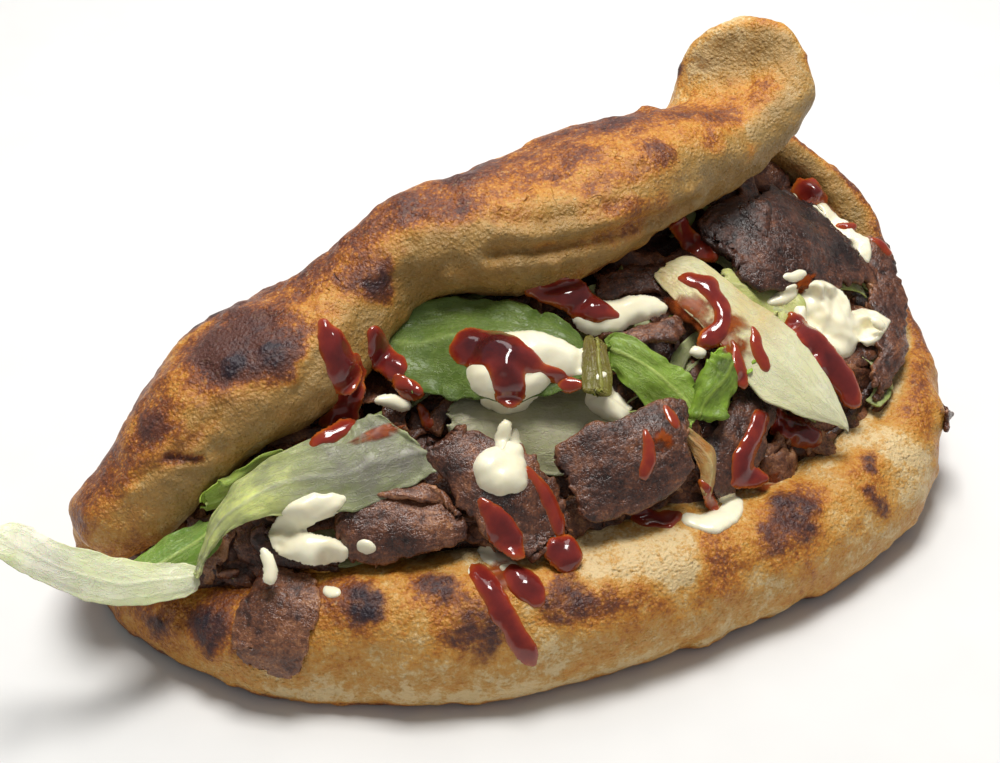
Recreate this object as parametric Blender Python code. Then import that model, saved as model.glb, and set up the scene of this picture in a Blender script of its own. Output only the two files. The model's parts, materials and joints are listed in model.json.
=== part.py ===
"""A kebab piadina: a puffy round flatbread folded over a heap of meat, lettuce and sauce.

Metres, +Z up. X runs along the fold, -Y is the open mouth, the bread rests on Z = 0.
The origin is below the middle of the whole sandwich, on the surface it stands on.
"""

import math

import bmesh
import bpy
import mathutils
import numpy as np

MM = 0.001

# The folded bread, as guide lines across a sheet. u runs from the left end of the fold to the
# right end, v from the lower rim along the floor, up the back and over to the upper rim.
# Each guide is a list of (u, x, y, z), in millimetres, through the middle of the dough.
GUIDES = {
    0.00: [(0, -118, -6, 9), (0.12, -101, -35, 12), (0.25, -68, -60, 17), (0.4, -25, -78, 18),
           (0.6, 35, -82, 18), (0.8, 92, -74, 18), (0.92, 117, -62, 19), (1, 129, -48, 22)],
    0.27: [(0, -118, 3, 8), (0.25, -76, -24, 7), (0.6, 32, -28, 6), (0.85, 103, -26, 8), (1, 142, -19, 34)],
    0.50: [(0, -120, 9, 10), (0.25, -83, 20, 7), (0.6, 28, 42, 8), (0.85, 98, 40, 14), (1, 143, 5, 48)],
    0.65: [(0, -121, 13, 17), (0.25, -86, 38, 32), (0.6, 25, 60, 40), (0.85, 94, 60, 50),
           (0.93, 116, 54, 57), (1, 133, 30, 69)],
    0.81: [(0, -121, 11, 26), (0.12, -101, 17, 47), (0.25, -77, 25, 67), (0.42, -28, 30, 81),
           (0.6, 28, 40, 93), (0.85, 77, 45, 90), (0.92, 87, 48, 89), (1, 93, 58, 101)],
    0.92: [(0, -120, 5, 31), (0.25, -74, 9, 65), (0.42, -27, 15, 77), (0.6, 24, 17, 91), (0.85, 82, 25, 91),
           (0.93, 99, 34, 97), (1, 117, 42, 119)],
    1.00: [(0, -117, -2, 27), (0.12, -100, -8, 34), (0.25, -68, -5, 54), (0.34, -46, -6, 62),
           (0.45, -18, 9, 78), (0.55, 8, 3, 74), (0.65, 32, 1, 75), (0.8, 68, 7, 82), (0.92, 98, 13, 87),
           (1, 121, 21, 99)],
}
BREAD_STEPS_U, BREAD_STEPS_V = 30, 26
DOUGH_HALF = 4 * MM
RIM_LOW = [(0, 8), (0.12, 12), (0.25, 19), (0.5, 19), (0.75, 18), (0.9, 16), (1, 11)]
RIM_UP = [(0, 8), (0.15, 13), (0.35, 14), (0.6, 16), (0.85, 14), (1, 7)]
RIM_LEFT = 7 * MM
RIM_RIGHT = 5.5 * MM
# How far in from its edge each rim stays at its full height, and how far in it has died away, in radii.
RIM_LOW_PLATEAU, RIM_LOW_END = 1.6, 2.9
RIM_PLATEAU, RIM_END = 1.0, 2.7

# The heap inside: where its edge meets the bread's inner face, as (u, v) of the bread's sheet.
HEAP_LOW = [(0, 0.18), (0.3, 0.16), (0.6, 0.12), (0.85, 0.12), (1, 0.14)]
HEAP_HIGH = [(0, 0.9), (0.3, 0.93), (0.6, 0.93), (0.78, 0.93), (0.9, 0.87), (1, 0.6)]
HEAP_ENDS = 0.045, 0.985
HEAP_STEPS_U, HEAP_STEPS_V = 20, 9
HEAP_BULGE = 6 * MM
# The heap's lumps: how high they are, and how many radians of wave run along it and up it.
HEAP_LUMP = 1.6 * MM
LUMPS_ALONG, LUMPS_UP = (41, 19), (7, 11)
GAP = 0.5 * MM

# The front of the sandwich, on which the pieces lie: the u's and the distances up the slope at which it is
# worked out, the v's of the bread's outer face where it starts and ends, and the x beyond which it runs
# straight on.
DENSE = np.linspace(0, 1, 161)
REACH = np.linspace(-60, 150, 211) * MM
FRONT_FROM, FRONT_TO = 0.14, 0.75
RIM_POINTS, MOUTH_POINTS = 9, 17
MIDWAY = 70
FACE_ENDS = -90 * MM, 136 * MM
FACE_SMOOTHINGS = 6

# How each kind of piece is made, in millimetres: thickness, the rise of its middle over its edges, how much it
# undulates, how ragged its outline is as a share of its width, and the radius its two ends are rounded to.
# A domed piece is a drop: its thickness is reached where it is at least as half-wide as the number given.
LEAF = dict(thick=1.6, camber=1.5, wave=1.0, ragged=0.12, end=4, domed=0, steps=(7, 4))
RIB = dict(thick=2.4, camber=1.0, wave=0.6, ragged=0.06, end=4, domed=0, steps=(6, 4))
SLICE = dict(thick=4.5, camber=2.0, wave=0.9, ragged=0.10, end=7, domed=0, steps=(6, 4))
SHRED = dict(thick=4.0, camber=0.8, wave=0.8, ragged=0.12, end=4, domed=0, steps=(6, 3))
DROP = dict(thick=6.0, camber=0, wave=0, ragged=0.04, end=0, domed=7, steps=(5, 4))
STREAK = dict(thick=3.2, camber=0, wave=0, ragged=0.06, end=0, domed=3, steps=(6, 4))
THINNEST = 0.25
# Radians of wave over a piece's length: of its undulation, and of its ragged outline.
WAVES, TEETH = (7, 15), (11, 23)

LOOKS = {
    "bread": ((0.58, 0.36, 0.16), 0.7),
    "filling": ((0.16, 0.08, 0.05), 0.6),
    "leaf_dark": ((0.12, 0.25, 0.05), 0.4),
    "leaf_bright": ((0.30, 0.50, 0.08), 0.4),
    "leaf_pale": ((0.66, 0.70, 0.42), 0.4),
    "meat": ((0.20, 0.10, 0.06), 0.55),
    "mayo": ((0.86, 0.82, 0.64), 0.25),
    "sauce": ((0.20, 0.012, 0.008), 0.12),
}

# The named pieces, lowest first: name, look, kind, then one list of stations for each lobe.
PIECES = [
    (
        "lettuce_shaded", "leaf_pale", LEAF,
        [(-22, 40, 1.8, 3.9, 0), (-8, 36, 2, 9.4, 0), (9, 30, 2, 13.9, 0), (28, 29, 2, 7.3, 0)],
    ),
    (
        "lettuce_back", "leaf_pale", LEAF,
        [(83, 62, 1.8, 4.1, 0), (89, 52, 2, 7.4, 0), (96, 45, 2, 8.6, 0), (102, 42, 2, 5.7, 0)],
    ),
    (
        "meat_under_flap", "meat", SHRED,
        [(39, 68, 2, 3.5, 0), (57, 71, 2, 5.2, 0), (70, 63, 2, 5.8, 0)],
    ),
    (
        "meat_left_bits", "meat", SHRED,
        [(-76, 18, 1, 1.6, 0), (-78, 11, 1, 2.5, 0), (-71, 5, 1, 2.4, 0), (-60, 2, 1, 1.9, 0)],
    ),
    (
        "meat_slab_left", "meat", SLICE,
        [(-60, 9, 3, 3.8, 0), (-49, 9, 4, 10, 0), (-39, 9, 4, 10, 0), (-27, 11, 3, 4.3, 0)],
    ),
    (
        "meat_folds", "meat", SLICE,
        [(75, 27, 2, 4.1, 0), (61, 18, 3, 7.4, 0), (51, 12, 3, 7.9, 0), (41, 4, 2, 3.4, 0)],
    ),
    (
        "meat_slab_back", "meat", SLICE,
        [(91, 76, 3, 7.2, 0), (101, 66, 4, 14.4, 0), (114, 51, 4, 13.4, 0), (128, 38, 3, 5.6, 0)],
    ),
    (
        "meat_right", "meat", SHRED,
        [(136, 46, 2, 2.9, 0), (130, 30, 3, 5.6, 0), (125, 17, 3, 4.9, 0),
         (117, 9, 3, 4.2, 0), (105, 9, 2, 2.7, 0)],
    ),
    (
        "meat_chunk", "meat", SLICE,
        [(-33, 30, 5, 3.6, 0), (-22, 27, 6, 8.2, 0), (-15, 18, 7, 14.1, 0),
         (-10, 9, 6, 11.4, 0), (-10, -7, 4, 3.2, 0)],
    ),
    (
        "meat_strip_left", "meat", SHRED,
        [(-53, 23, 4, 1.4, 0), (-41, 18, 5, 2.7, 0), (-29, 18, 6, 2.7, 0)],
    ),
    (
        "meat_strip_mid", "meat", SHRED,
        [(30, 55, 4, 2, 0), (44, 51, 5, 3.1, 0), (59, 53, 4, 3.7, 0)],
    ),
    (
        "lettuce_left_low", "leaf_dark", LEAF,
        [(-113, 12, 3, 1.9, 0), (-99, 13, 4, 4.9, 0), (-82, 19, 4, 3.5, 0)],
    ),
    (
        "lettuce_left_high", "leaf_bright", LEAF,
        [(-93, 76, 4, 2.4, 0), (-83, 76, 5, 6.5, 0), (-71, 83, 5, 3.8, 0)],
    ),
    (
        "lettuce_tail", "leaf_pale", RIB,
        [(-139, 27, 22, 3.4, 0), (-131, 21, 18, 4.6, 0), (-119, 13, 13, 5.0, 0),
         (-106, 7, 7, 4.3, 0), (-92, 7, 5, 2.2, 0)],
    ),
    (
        "lettuce_pale", "leaf_pale", LEAF,
        [(-25, 30, 7, 6.6, -10), (-44, 29, 8, 9.7, -10), (-57, 28, 9, 10.8, -10), (-72, 22, 10, 8.1, 0),
         (-79, 16, 10, 4.8, 0), (-88, 7, 9, 3.8, 0), (-97, -7, 8, 1.6, 0)],
    ),
    (
        "lettuce_mid", "leaf_bright", LEAF,
        [(32, 52, 5, 3.4, 0), (37, 42, 7, 7.9, 12), (43, 33, 8, 8.4, 12), (44, 22, 8, 2.8, 0)],
    ),
    (
        "lettuce_frill", "leaf_bright", LEAF,
        [(75, 42, 8, 2.9, 0), (61, 35, 10, 6.2, -14), (51, 29, 10, 6.2, -14), (45, 23, 9, 2.8, 0)],
        [(40, 20, 9, 2.2, 0), (50, 20, 10.6, 4.7, 12), (62, 24, 10, 3.4, 0)],
    ),
    (
        "lettuce_wedge", "leaf_pale", RIB,
        [(64, 74, 5, 2.3, 0), (69, 60, 7, 8.7, 0), (75, 43, 9, 9.8, 0),
         (80, 25, 10, 9.2, 0), (87, 10, 9, 4.6, 0), (89, 3, 8, 1.4, 0)],
    ),
    (
        "lettuce_dark", "leaf_dark", LEAF,
        [(-39, 91, 7, 5.5, 0), (-21, 58, 8, 11.8, -2), (-10, 59, 9, 17.3, -4),
         (1, 54, 10, 16.7, -6), (15, 50, 11, 12.8, -6), (21, 40, 11, 3.9, 0)],
    ),
    (
        "lettuce_stub", "leaf_dark", STREAK,
        [(26, 54, 11, 2.5, 0), (22, 42, 13.5, 3, 0), (18, 35, 13.5, 2.2, 0)],
    ),
    (
        "meat_oval", "meat", SLICE,
        [(1, 8, 8, 7.1, 0), (13, 14, 10, 13.7, 0), (26, 20, 12, 13.2, 0), (41, 26, 11, 6.7, 0)],
    ),
    (
        "lettuce_curl", "leaf_pale", LEAF,
        [(39, 23, 9, 1.7, 0), (43, 16, 8, 2.5, 0), (41, 8, 6, 2.2, 0), (38, 3, 5, 1.4, 0)],
    ),
    (
        "meat_on_rim", "meat", SHRED,
        [(-73, 4, 1.2, 4.3, 0), (-81, -9, 1.2, 8.1, 0), (-86, -18, 1.2, 8.6, 0), (-86, -28, 1.2, 6.5, 0)],
    ),
    (
        "meat_crumb", "meat", SHRED,
        [(138, -33, 1.5, 1.5, 0), (131, -16, 1.5, 2.4, 0), (123, -23, 1.5, 1.8, 0)],
    ),
    (
        "mayo_behind_oval", "mayo", DROP,
        [(20, 42, 6, 2.5, 0), (24, 36, 6, 4.5, 0), (29, 31, 7, 2.5, 0)],
    ),
    (
        "mayo_leaf", "mayo", DROP,
        [(-13, 43, 12, 3.8, 0), (-5, 45, 13, 9, 0), (13, 49, 13, 7.7, 0), (21, 42, 13, 3.9, 0)],
    ),
    (
        "mayo_drop", "mayo", DROP,
        [(-6, 31, 9, 0.8, 0), (-10, 26, 10, 2.2, 0), (-14, 21, 11, 6.5, 0), (-16, 15, 11, 3, 0)],
    ),
    (
        "mayo_left", "mayo", DROP,
        [(-54, 20, 6, 1.9, 0), (-64, 18, 7, 3, 0), (-72, 14, 7, 2.7, 0)],
        [(-72, 16, 7, 2.4, 0), (-68, 8, 8, 3.2, 0), (-58, 6, 6, 2.4, 0)],
    ),
    (
        "mayo_mid", "mayo", DROP,
        [(25, 60, 7, 2.8, 0), (38, 60, 8, 4.8, 0), (49, 60, 7, 3.1, 0), (55, 57, 7, 1.4, 0)],
    ),
    (
        "mayo_right", "mayo", DROP,
        [(102, 44, 5, 2.7, 0), (107, 37, 6, 6, 0), (107, 27, 6, 4.8, 0), (106, 20, 5, 2.4, 0)],
        [(108, 28, 6, 2.1, 0), (121, 19, 6, 3, 0), (112, 19, 6, 1.2, 0)],
        [(99, 42, 5, 1.5, 0), (99, 33, 6, 1.8, 0), (103, 22, 6, 1.5, 0)],
    ),
    (
        "mayo_rim", "mayo", STREAK,
        [(31, -3, 1.5, 1.7, 0), (36, -8, 1.5, 2.8, 0), (44, -7, 1.5, 2.2, 0),
         (49, -2, 1.5, 1.7, 0), (45, 4, 1.5, 1.4, 0)],
    ),
    (
        "mayo_back", "mayo", STREAK,
        [(127, 71, 4, 1.6, 0), (128, 59, 5, 2.8, 0), (129, 47, 4, 1.9, 0)],
        [(130, 48, 4, 1.3, 0), (131, 38, 4, 2.5, 0), (131, 31, 4, 1.2, 0)],
    ),
    (
        "mayo_low", "mayo", STREAK,
        [(-23, 3, 2, 2.2, 0), (-23, -8, 2, 2.4, 0), (-22, -12, 2, 1.6, 0)],
    ),
    (
        "sauce_flap", "sauce", STREAK,
        [(-40, 106, 3.4, 2.4, 0), (-45, 101, 4.2, 3.8, 0), (-51, 93, 4.6, 3.3, 0), (-51, 40, 4, 1.7, 0)],
    ),
    (
        "sauce_leaf", "sauce", DROP,
        [(-11, 58, 14, 4.4, 0), (-6, 52, 16, 6.6, 0), (2, 50, 17, 3, 0), (16, 38, 17, 1.6, 0)],
        [(-5, 51, 16, 2.5, 0), (-7, 44, 17, 2.7, 0), (-8, 38, 16, 2.4, 0)],
    ),
    (
        "sauce_mid", "sauce", DROP,
        [(32, 127, 8, 3.4, 0), (31, 63, 11, 6.2, 0), (40, 59, 11, 2.8, 0)],
    ),
    (
        "sauce_chunk", "sauce", STREAK,
        [(-20, 16, 10.5, 2.1, 0), (-19, 7, 10.5, 3.5, 0), (-22, -11, 8.5, 2.4, 0)],
    ),
    (
        "sauce_long", "sauce", STREAK,
        [(-30, -6, 2, 1.9, 0), (-32, -16, 2.2, 3.4, 0), (-31, -26, 2.2, 2.6, 0), (-27, -36, 2, 1.9, 0)],
    ),
    (
        "sauce_short", "sauce", STREAK,
        [(-23, -10, 4.5, 2.4, 0), (-22, -17, 4.5, 4, 0), (-22, -21, 4, 2.1, 0)],
    ),
    (
        "sauce_round", "sauce", DROP,
        [(-10, -6, 6.5, 3.8, 0), (-8, -10, 6.5, 5.9, 0), (-5, -12, 6, 3.7, 0)],
    ),
    (
        "sauce_under_oval", "sauce", DROP,
        [(21, 5, 3, 2.8, 0), (24, -2, 3, 4.7, 0), (31, -2, 3, 2.5, 0)],
    ),
    (
        "sauce_fold", "sauce", STREAK,
        [(67, 21, 8, 1.7, 0), (58, 14, 8, 2.3, 0), (52, 7, 6, 4.5, 0), (60, 3, 4, 2.3, 0)],
    ),
    (
        "sauce_rim_right", "sauce", STREAK,
        [(72, 21, 4, 2, 0), (77, 13, 4, 4.3, 0), (84, 7, 3, 1.7, 0)],
    ),
    (
        "sauce_stripe", "sauce", STREAK,
        [(96, 41, 8, 2.1, 0), (94, 31, 8, 3.8, 0), (97, 20, 7, 3.8, 0), (97, 9, 6, 2.3, 0)],
    ),
    (
        "sauce_wedge", "sauce", STREAK,
        [(67, 65, 9, 2, 0), (74, 59, 11, 2.9, 0), (73, 53, 12, 2.3, 0), (56, 45, 11, 2.5, 0)],
    ),
    (
        "sauce_back", "sauce", STREAK,
        [(76, 122, 4, 2.6, 0), (83, 77, 5, 2.7, 0), (86, 68, 5, 2.4, 0)],
    ),
    (
        "sauce_ear", "sauce", STREAK,
        [(128, 72, 5, 1.8, 0), (128, 66, 6, 2.7, 0), (129, 60, 5, 1.8, 0)],
    ),
]


def natural_spline(knots, values):
    """The natural cubic spline through values at knots, as a function of an array of places."""
    knots, values = np.asarray(knots, float), np.asarray(values, float)
    n, h = len(knots), np.diff(knots)
    slope = np.diff(values, axis=0) / h.reshape(-1, *[1] * (values.ndim - 1))
    system, right = np.eye(n), np.zeros_like(values)
    for i in range(1, n - 1):
        system[i, i - 1 : i + 2] = h[i - 1], 2 * (h[i - 1] + h[i]), h[i]
        right[i] = 6 * (slope[i] - slope[i - 1])
    bend = np.linalg.solve(system, right)

    def at(t):
        t = np.clip(np.asarray(t, float), knots[0], knots[-1])
        i = np.clip(np.searchsorted(knots, t) - 1, 0, n - 2)
        a, b = knots[i + 1] - t, t - knots[i]
        step = h[i]
        if values.ndim > 1:
            a, b, step = a[..., None], b[..., None], step[..., None]
        return (
            (bend[i] * a**3 + bend[i + 1] * b**3) / (6 * step)
            + (values[i] / step - bend[i] * step / 6) * a
            + (values[i + 1] / step - bend[i + 1] * step / 6) * b
        )

    return at


def clear_scene():
    for obj in list(bpy.data.objects):
        bpy.data.objects.remove(obj)


def eased(steps):
    """Places from 0 to 1 that lie closer together towards both ends."""
    return (1 - np.cos(np.linspace(0, math.pi, steps + 1))) / 2


def bread_sheet(us, vs):
    """Points of the bread's middle surface, as an array over us and vs."""
    rows = np.array([natural_spline(*split(guide))(us) for guide in GUIDES.values()])
    return np.array([natural_spline(list(GUIDES), rows[:, i])(vs) for i in range(len(us))]) * MM


def split(guide):
    return [g[0] for g in guide], [g[1:] for g in guide]


def unit(vectors):
    return vectors / np.maximum(np.linalg.norm(vectors, axis=-1, keepdims=True), 1e-15)


def sheet_normals(points):
    along, across = np.gradient(points, axis=0), np.gradient(points, axis=1)
    return unit(np.cross(along, across))


def arc_from_start(points, axis):
    steps = np.linalg.norm(np.diff(points, axis=axis), axis=2)
    pad = [(0, 0), (0, 0)]
    pad[axis] = (1, 0)
    return np.cumsum(np.pad(steps, pad), axis=axis)


def bread_half_thickness(points, us):
    """Half the dough's thickness at each point: thin in the middle, puffed along the rims, round at the edges."""
    low = natural_spline(*zip(*RIM_LOW))(us)[:, None] * MM
    up = natural_spline(*zip(*RIM_UP))(us)[:, None] * MM
    along, across = arc_from_start(points, 0), arc_from_start(points, 1)
    edges = [
        (across, low, RIM_LOW_PLATEAU, RIM_LOW_END),
        (across[:, -1:] - across, up, RIM_PLATEAU, RIM_END),
        (along, RIM_LEFT, RIM_PLATEAU, RIM_END),
        (along[-1:] - along, RIM_RIGHT, RIM_PLATEAU, RIM_END),
    ]
    excess = np.zeros(points.shape[:2])
    for distance, radius, start, end in edges:
        fade = np.clip((distance / radius - start) / (end - start), 0, 1)
        excess = np.maximum(excess, (radius - DOUGH_HALF) * (1 + np.cos(math.pi * fade)) / 2)
    plateau = DOUGH_HALF + excess
    rounding = np.ones_like(plateau)
    for distance, *_ in edges:
        inside = 1 - np.clip(distance / plateau, 0, 1)
        rounding *= np.sqrt(1 - inside**2)
    return plateau * rounding


def grid_solid(name, top, bottom):
    """A closed solid between two grids of points that meet along all four edges."""
    nu, nv = top.shape[:2]
    bm = bmesh.new()
    upper = [[bm.verts.new(top[i, j]) for j in range(nv)] for i in range(nu)]
    lower = [
        [
            upper[i][j] if i in (0, nu - 1) or j in (0, nv - 1) else bm.verts.new(bottom[i, j])
            for j in range(nv)
        ]
        for i in range(nu)
    ]
    for i in range(nu - 1):
        for j in range(nv - 1):
            bm.faces.new((upper[i][j], upper[i + 1][j], upper[i + 1][j + 1], upper[i][j + 1]))
            bm.faces.new((lower[i][j], lower[i][j + 1], lower[i + 1][j + 1], lower[i + 1][j]))
    bmesh.ops.triangulate(bm, faces=bm.faces)
    mesh = bpy.data.meshes.new(name)
    bm.to_mesh(mesh)
    bm.free()
    obj = bpy.data.objects.new(name, mesh)
    bpy.context.scene.collection.objects.link(obj)
    return obj


def bread_faces(us, vs):
    """The bread's inner and outer faces, as two grids of points over us and vs."""
    middle = bread_sheet(us, vs)
    offset = sheet_normals(middle) * bread_half_thickness(middle, us)[..., None]
    inner, outer = middle + offset, middle - offset
    for side in (inner, outer):
        side[..., 2] = np.maximum(side[..., 2], 0)
    return inner, outer


def sampled(grid, us, vs):
    """Points of a grid that covers 0 to 1 both ways, at each pair of us and vs."""
    i = np.clip(np.asarray(us) * (len(grid) - 1), 0, len(grid) - 1.001)
    j = np.clip(np.asarray(vs) * (grid.shape[1] - 1), 0, grid.shape[1] - 1.001)
    i0, j0 = i.astype(int), j.astype(int)
    a, b = (i - i0)[..., None], (j - j0)[..., None]
    low = grid[i0, j0] * (1 - b) + grid[i0, j0 + 1] * b
    high = grid[i0 + 1, j0] * (1 - b) + grid[i0 + 1, j0 + 1] * b
    return low * (1 - a) + high * a


def heap_surface(us, ts):
    """The heap's open face at each pair of us (along the fold) and ts (0 at the lower rim, 1 at the flap)."""
    low = sampled(INNER, us, natural_spline(*zip(*HEAP_LOW))(us))
    high = sampled(INNER, us, natural_spline(*zip(*HEAP_HIGH))(us))
    upward = unit(high - low)
    outward = unit(np.cross(fold_direction(us), upward))
    ends = np.sin(math.pi * np.clip((us - HEAP_ENDS[0]) / (HEAP_ENDS[1] - HEAP_ENDS[0]), 0, 1)) ** 0.5
    ridges = np.sin(us * LUMPS_ALONG[0] + 2 * np.sin(ts * LUMPS_UP[0]))
    lumps = ridges * np.cos(ts * LUMPS_UP[1] + us * LUMPS_ALONG[1] + 1) * HEAP_LUMP
    height = (HEAP_BULGE + lumps) * np.sin(math.pi * np.clip(ts, 0, 1)) * ends
    slope = np.linalg.norm(high - low, axis=-1, keepdims=True)
    return low + upward * slope * ts[..., None] + outward * height[..., None]


def fold_direction(us):
    step = 0.02
    middle = natural_spline(*zip(*HEAP_LOW))
    ahead = sampled(INNER, np.clip(us + step, 0, 1), middle(us))
    behind = sampled(INNER, np.clip(us - step, 0, 1), middle(us))
    return unit(ahead - behind)


def front_face():
    """The whole front of the sandwich as one grid over the u's of DENSE and the REACH of distances: the outside of
    the lower rim, the heap's open face (from distance 0) and the outside of the upper rim."""
    low, high = natural_spline(*zip(*HEAP_LOW))(DENSE), natural_spline(*zip(*HEAP_HIGH))(DENSE)
    rows = []
    for i, u in enumerate(DENSE):
        here = np.full(RIM_POINTS, u)
        below = [sampled(OUTER, here, np.linspace(FRONT_FROM, 0, RIM_POINTS))[:-1]]
        below.append(sampled(INNER, here, np.linspace(0, low[i], RIM_POINTS))[:-1])
        mouth = heap_surface(np.full(MOUTH_POINTS, u), np.linspace(0, 1, MOUTH_POINTS))
        above = [sampled(INNER, here, np.linspace(high[i], 1, RIM_POINTS))[1:]]
        above.append(sampled(OUTER, here, np.linspace(1, FRONT_TO, RIM_POINTS))[1:])
        points = np.concatenate(below + [mouth] + above)
        run = np.r_[0, np.cumsum(np.linalg.norm(np.diff(points, axis=0), axis=1))]
        run -= run[len(below[0]) + len(below[1])]
        rows.append([np.interp(REACH, run, points[:, k]) for k in range(3)])
    return np.array(rows).transpose(0, 2, 1)


def mouth_frame(x, w):
    """The point of the front at x along the fold and w up from the heap's lower edge, in metres, with the
    direction straight out of it. Beyond either end the front runs straight on."""
    held = np.clip(x, *FACE_ENDS)
    us = np.interp(held, FACE[:, MIDWAY, 0], DENSE)
    places = (np.clip(w, REACH[0], REACH[-1]) - REACH[0]) / (REACH[-1] - REACH[0])
    point = sampled(FACE, us, places) + (x - held)[..., None] * np.array([1, 0, 0])
    return point, unit(sampled(FACE_OUT, us, places))


def filling():
    """The heap, its back let into the middle of the dough: the bread is cut out of it afterwards."""
    us = HEAP_ENDS[0] + (HEAP_ENDS[1] - HEAP_ENDS[0]) * eased(HEAP_STEPS_U)
    ts = eased(HEAP_STEPS_V)
    low, high = natural_spline(*zip(*HEAP_LOW))(us), natural_spline(*zip(*HEAP_HIGH))(us)
    vs = low[:, None] + (high - low)[:, None] * ts
    back = sampled(MIDDLE, np.broadcast_to(us[:, None], vs.shape), vs)
    front = heap_surface(*np.broadcast_arrays(us[:, None], ts[None, :]))
    for edge in ((0, slice(None)), (-1, slice(None)), (slice(None), 0), (slice(None), -1)):
        front[edge] = back[edge]
    return grid_solid("filling", front, back)


def rounded(distance, radius):
    """A quarter-round profile: 0 at an edge, 1 from radius inwards."""
    return np.sqrt(1 - (1 - np.clip(distance / radius, 0, 1)) ** 2)


def strip(name, kind, stations, seed):
    """One piece that lies on the front and follows it. Each station is (x, w, lift, half width, roll): place along
    the fold, place up the slope and height over the heap in millimetres, then half the piece's width and how many
    degrees its upper side is turned outwards."""
    rng = np.random.default_rng(seed)
    rows = np.array(stations, float)
    along = np.cumsum(np.r_[0, np.linalg.norm(np.diff(rows[:, :2], axis=0), axis=1)])
    places = natural_spline(along / along[-1], rows)(eased(kind["steps"][0]))
    centre, lift, half, roll = places[:, :2], places[:, 2], places[:, 3], np.radians(places[:, 4])
    heading = unit(np.gradient(centre, axis=0))
    sideways = np.stack([-heading[:, 1], heading[:, 0]], axis=1)

    run = arc_from_start(centre[:, None], 0)[:, 0]
    to_end = np.minimum(run, run[-1] - run)
    end_radius = half if kind["domed"] else kind["end"]
    half = np.maximum(half * rounded(to_end, end_radius), THINNEST)
    s = -np.cos(np.linspace(0, math.pi, kind["steps"][1] + 1))
    a = np.linspace(0, 1, len(half))[:, None]
    phase = rng.uniform(0, 2 * math.pi, 4)
    wander = np.sin(WAVES[0] * a + phase[0] + 2 * s) + np.sin(WAVES[1] * a + phase[1] - 3 * s)
    teeth = np.sin(TEETH[0] * a + phase[2]) + np.sin(TEETH[1] * a + phase[3] + s)
    ragged = 1 + kind["ragged"] * teeth / 2
    reach = half[:, None] * s * ragged
    height = lift[:, None] + reach * np.sin(roll)[:, None]
    height = height + kind["camber"] * (1 - s**2) + kind["wave"] * wander / 2
    spots = centre[:, None] + sideways[:, None] * reach[..., None]
    point, outward = mouth_frame(spots[..., 0] * MM, spots[..., 1] * MM)

    inwards = half[:, None] * (1 - np.abs(s))
    radius = np.broadcast_to(half[:, None] if kind["domed"] else kind["thick"] / 2, inwards.shape)
    profile = rounded(inwards, radius) * rounded(to_end[:, None], radius)
    swell = np.minimum(1, half[:, None] / kind["domed"]) if kind["domed"] else 1
    rise = kind["thick"] / 2 * profile * swell
    return grid_solid(
        name,
        point + outward * (height + rise)[..., None] * MM,
        point + outward * (height - rise)[..., None] * MM,
    )


def boolean(obj, other, operation):
    modifier = obj.modifiers.new("cut", "BOOLEAN")
    modifier.object = other
    modifier.operation = operation
    modifier.solver = "EXACT"
    modifier.use_self = True
    graph = bpy.context.evaluated_depsgraph_get()
    mesh = bpy.data.meshes.new_from_object(obj.evaluated_get(graph))
    obj.modifiers.clear()
    obj.data = mesh


def swollen(obj, amount):
    """A helper copy of obj with its whole surface moved out by amount."""
    cutter = bpy.data.objects.new(obj.name + "_cutter", obj.data.copy())
    bpy.context.scene.collection.objects.link(cutter)
    bm = bmesh.new()
    bm.from_mesh(cutter.data)
    bm.normal_update()
    for vertex in bm.verts:
        vertex.co += vertex.normal * amount
    bm.to_mesh(cutter.data)
    bm.free()
    cutter.hide_render = True
    cutter.display_type = "WIRE"
    return cutter


def largest_body(obj):
    """Leaves only the largest connected body of obj."""
    bm = bmesh.new()
    bm.from_mesh(obj.data)
    bmesh.ops.triangulate(bm, faces=bm.faces)
    bodies, unseen = [], set(bm.faces)
    while unseen:
        body, front = set(), [next(iter(unseen))]
        while front:
            face = front.pop()
            if face not in unseen:
                continue
            unseen.discard(face)
            body.add(face)
            for edge in face.edges:
                if len(edge.link_faces) == 2:
                    front += [other for other in edge.link_faces if other in unseen]
        bodies.append(body)
    size = [sum(face.calc_area() for face in body) for body in bodies]
    keep = bodies[size.index(max(size))]
    bmesh.ops.delete(bm, geom=[face for face in bm.faces if face not in keep], context="FACES")
    bm.to_mesh(obj.data)
    bm.free()


def boxes_meet(a, b, margin):
    points = [np.array([v.co for v in obj.data.vertices]) for obj in (a, b)]
    return bool(
        (points[0].min(0) - margin <= points[1].max(0)).all()
        and (points[1].min(0) - margin <= points[0].max(0)).all()
    )


def finish(obj, look):
    """Shades obj smooth and gives it a material of its own."""
    material = bpy.data.materials.new(obj.name)
    material.use_nodes = True
    shader = material.node_tree.nodes["Principled BSDF"]
    colour, shader.inputs["Roughness"].default_value = LOOKS[look]
    shader.inputs["Base Color"].default_value = (*colour, 1)
    material.diffuse_color = (*colour, 1)
    obj.data.materials.clear()
    obj.data.materials.append(material)
    obj.data.polygons.foreach_set("use_smooth", [True] * len(obj.data.polygons))


def centre_on_origin(objects):
    """Moves all the meshes so that the origin is below the middle of their common box."""
    points = np.concatenate([[v.co[:] for v in obj.data.vertices] for obj in objects])
    middle = (points.min(axis=0) + points.max(axis=0)) / 2
    for obj in objects:
        obj.data.transform(mathutils.Matrix.Translation((-middle[0], -middle[1], 0)))


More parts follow.
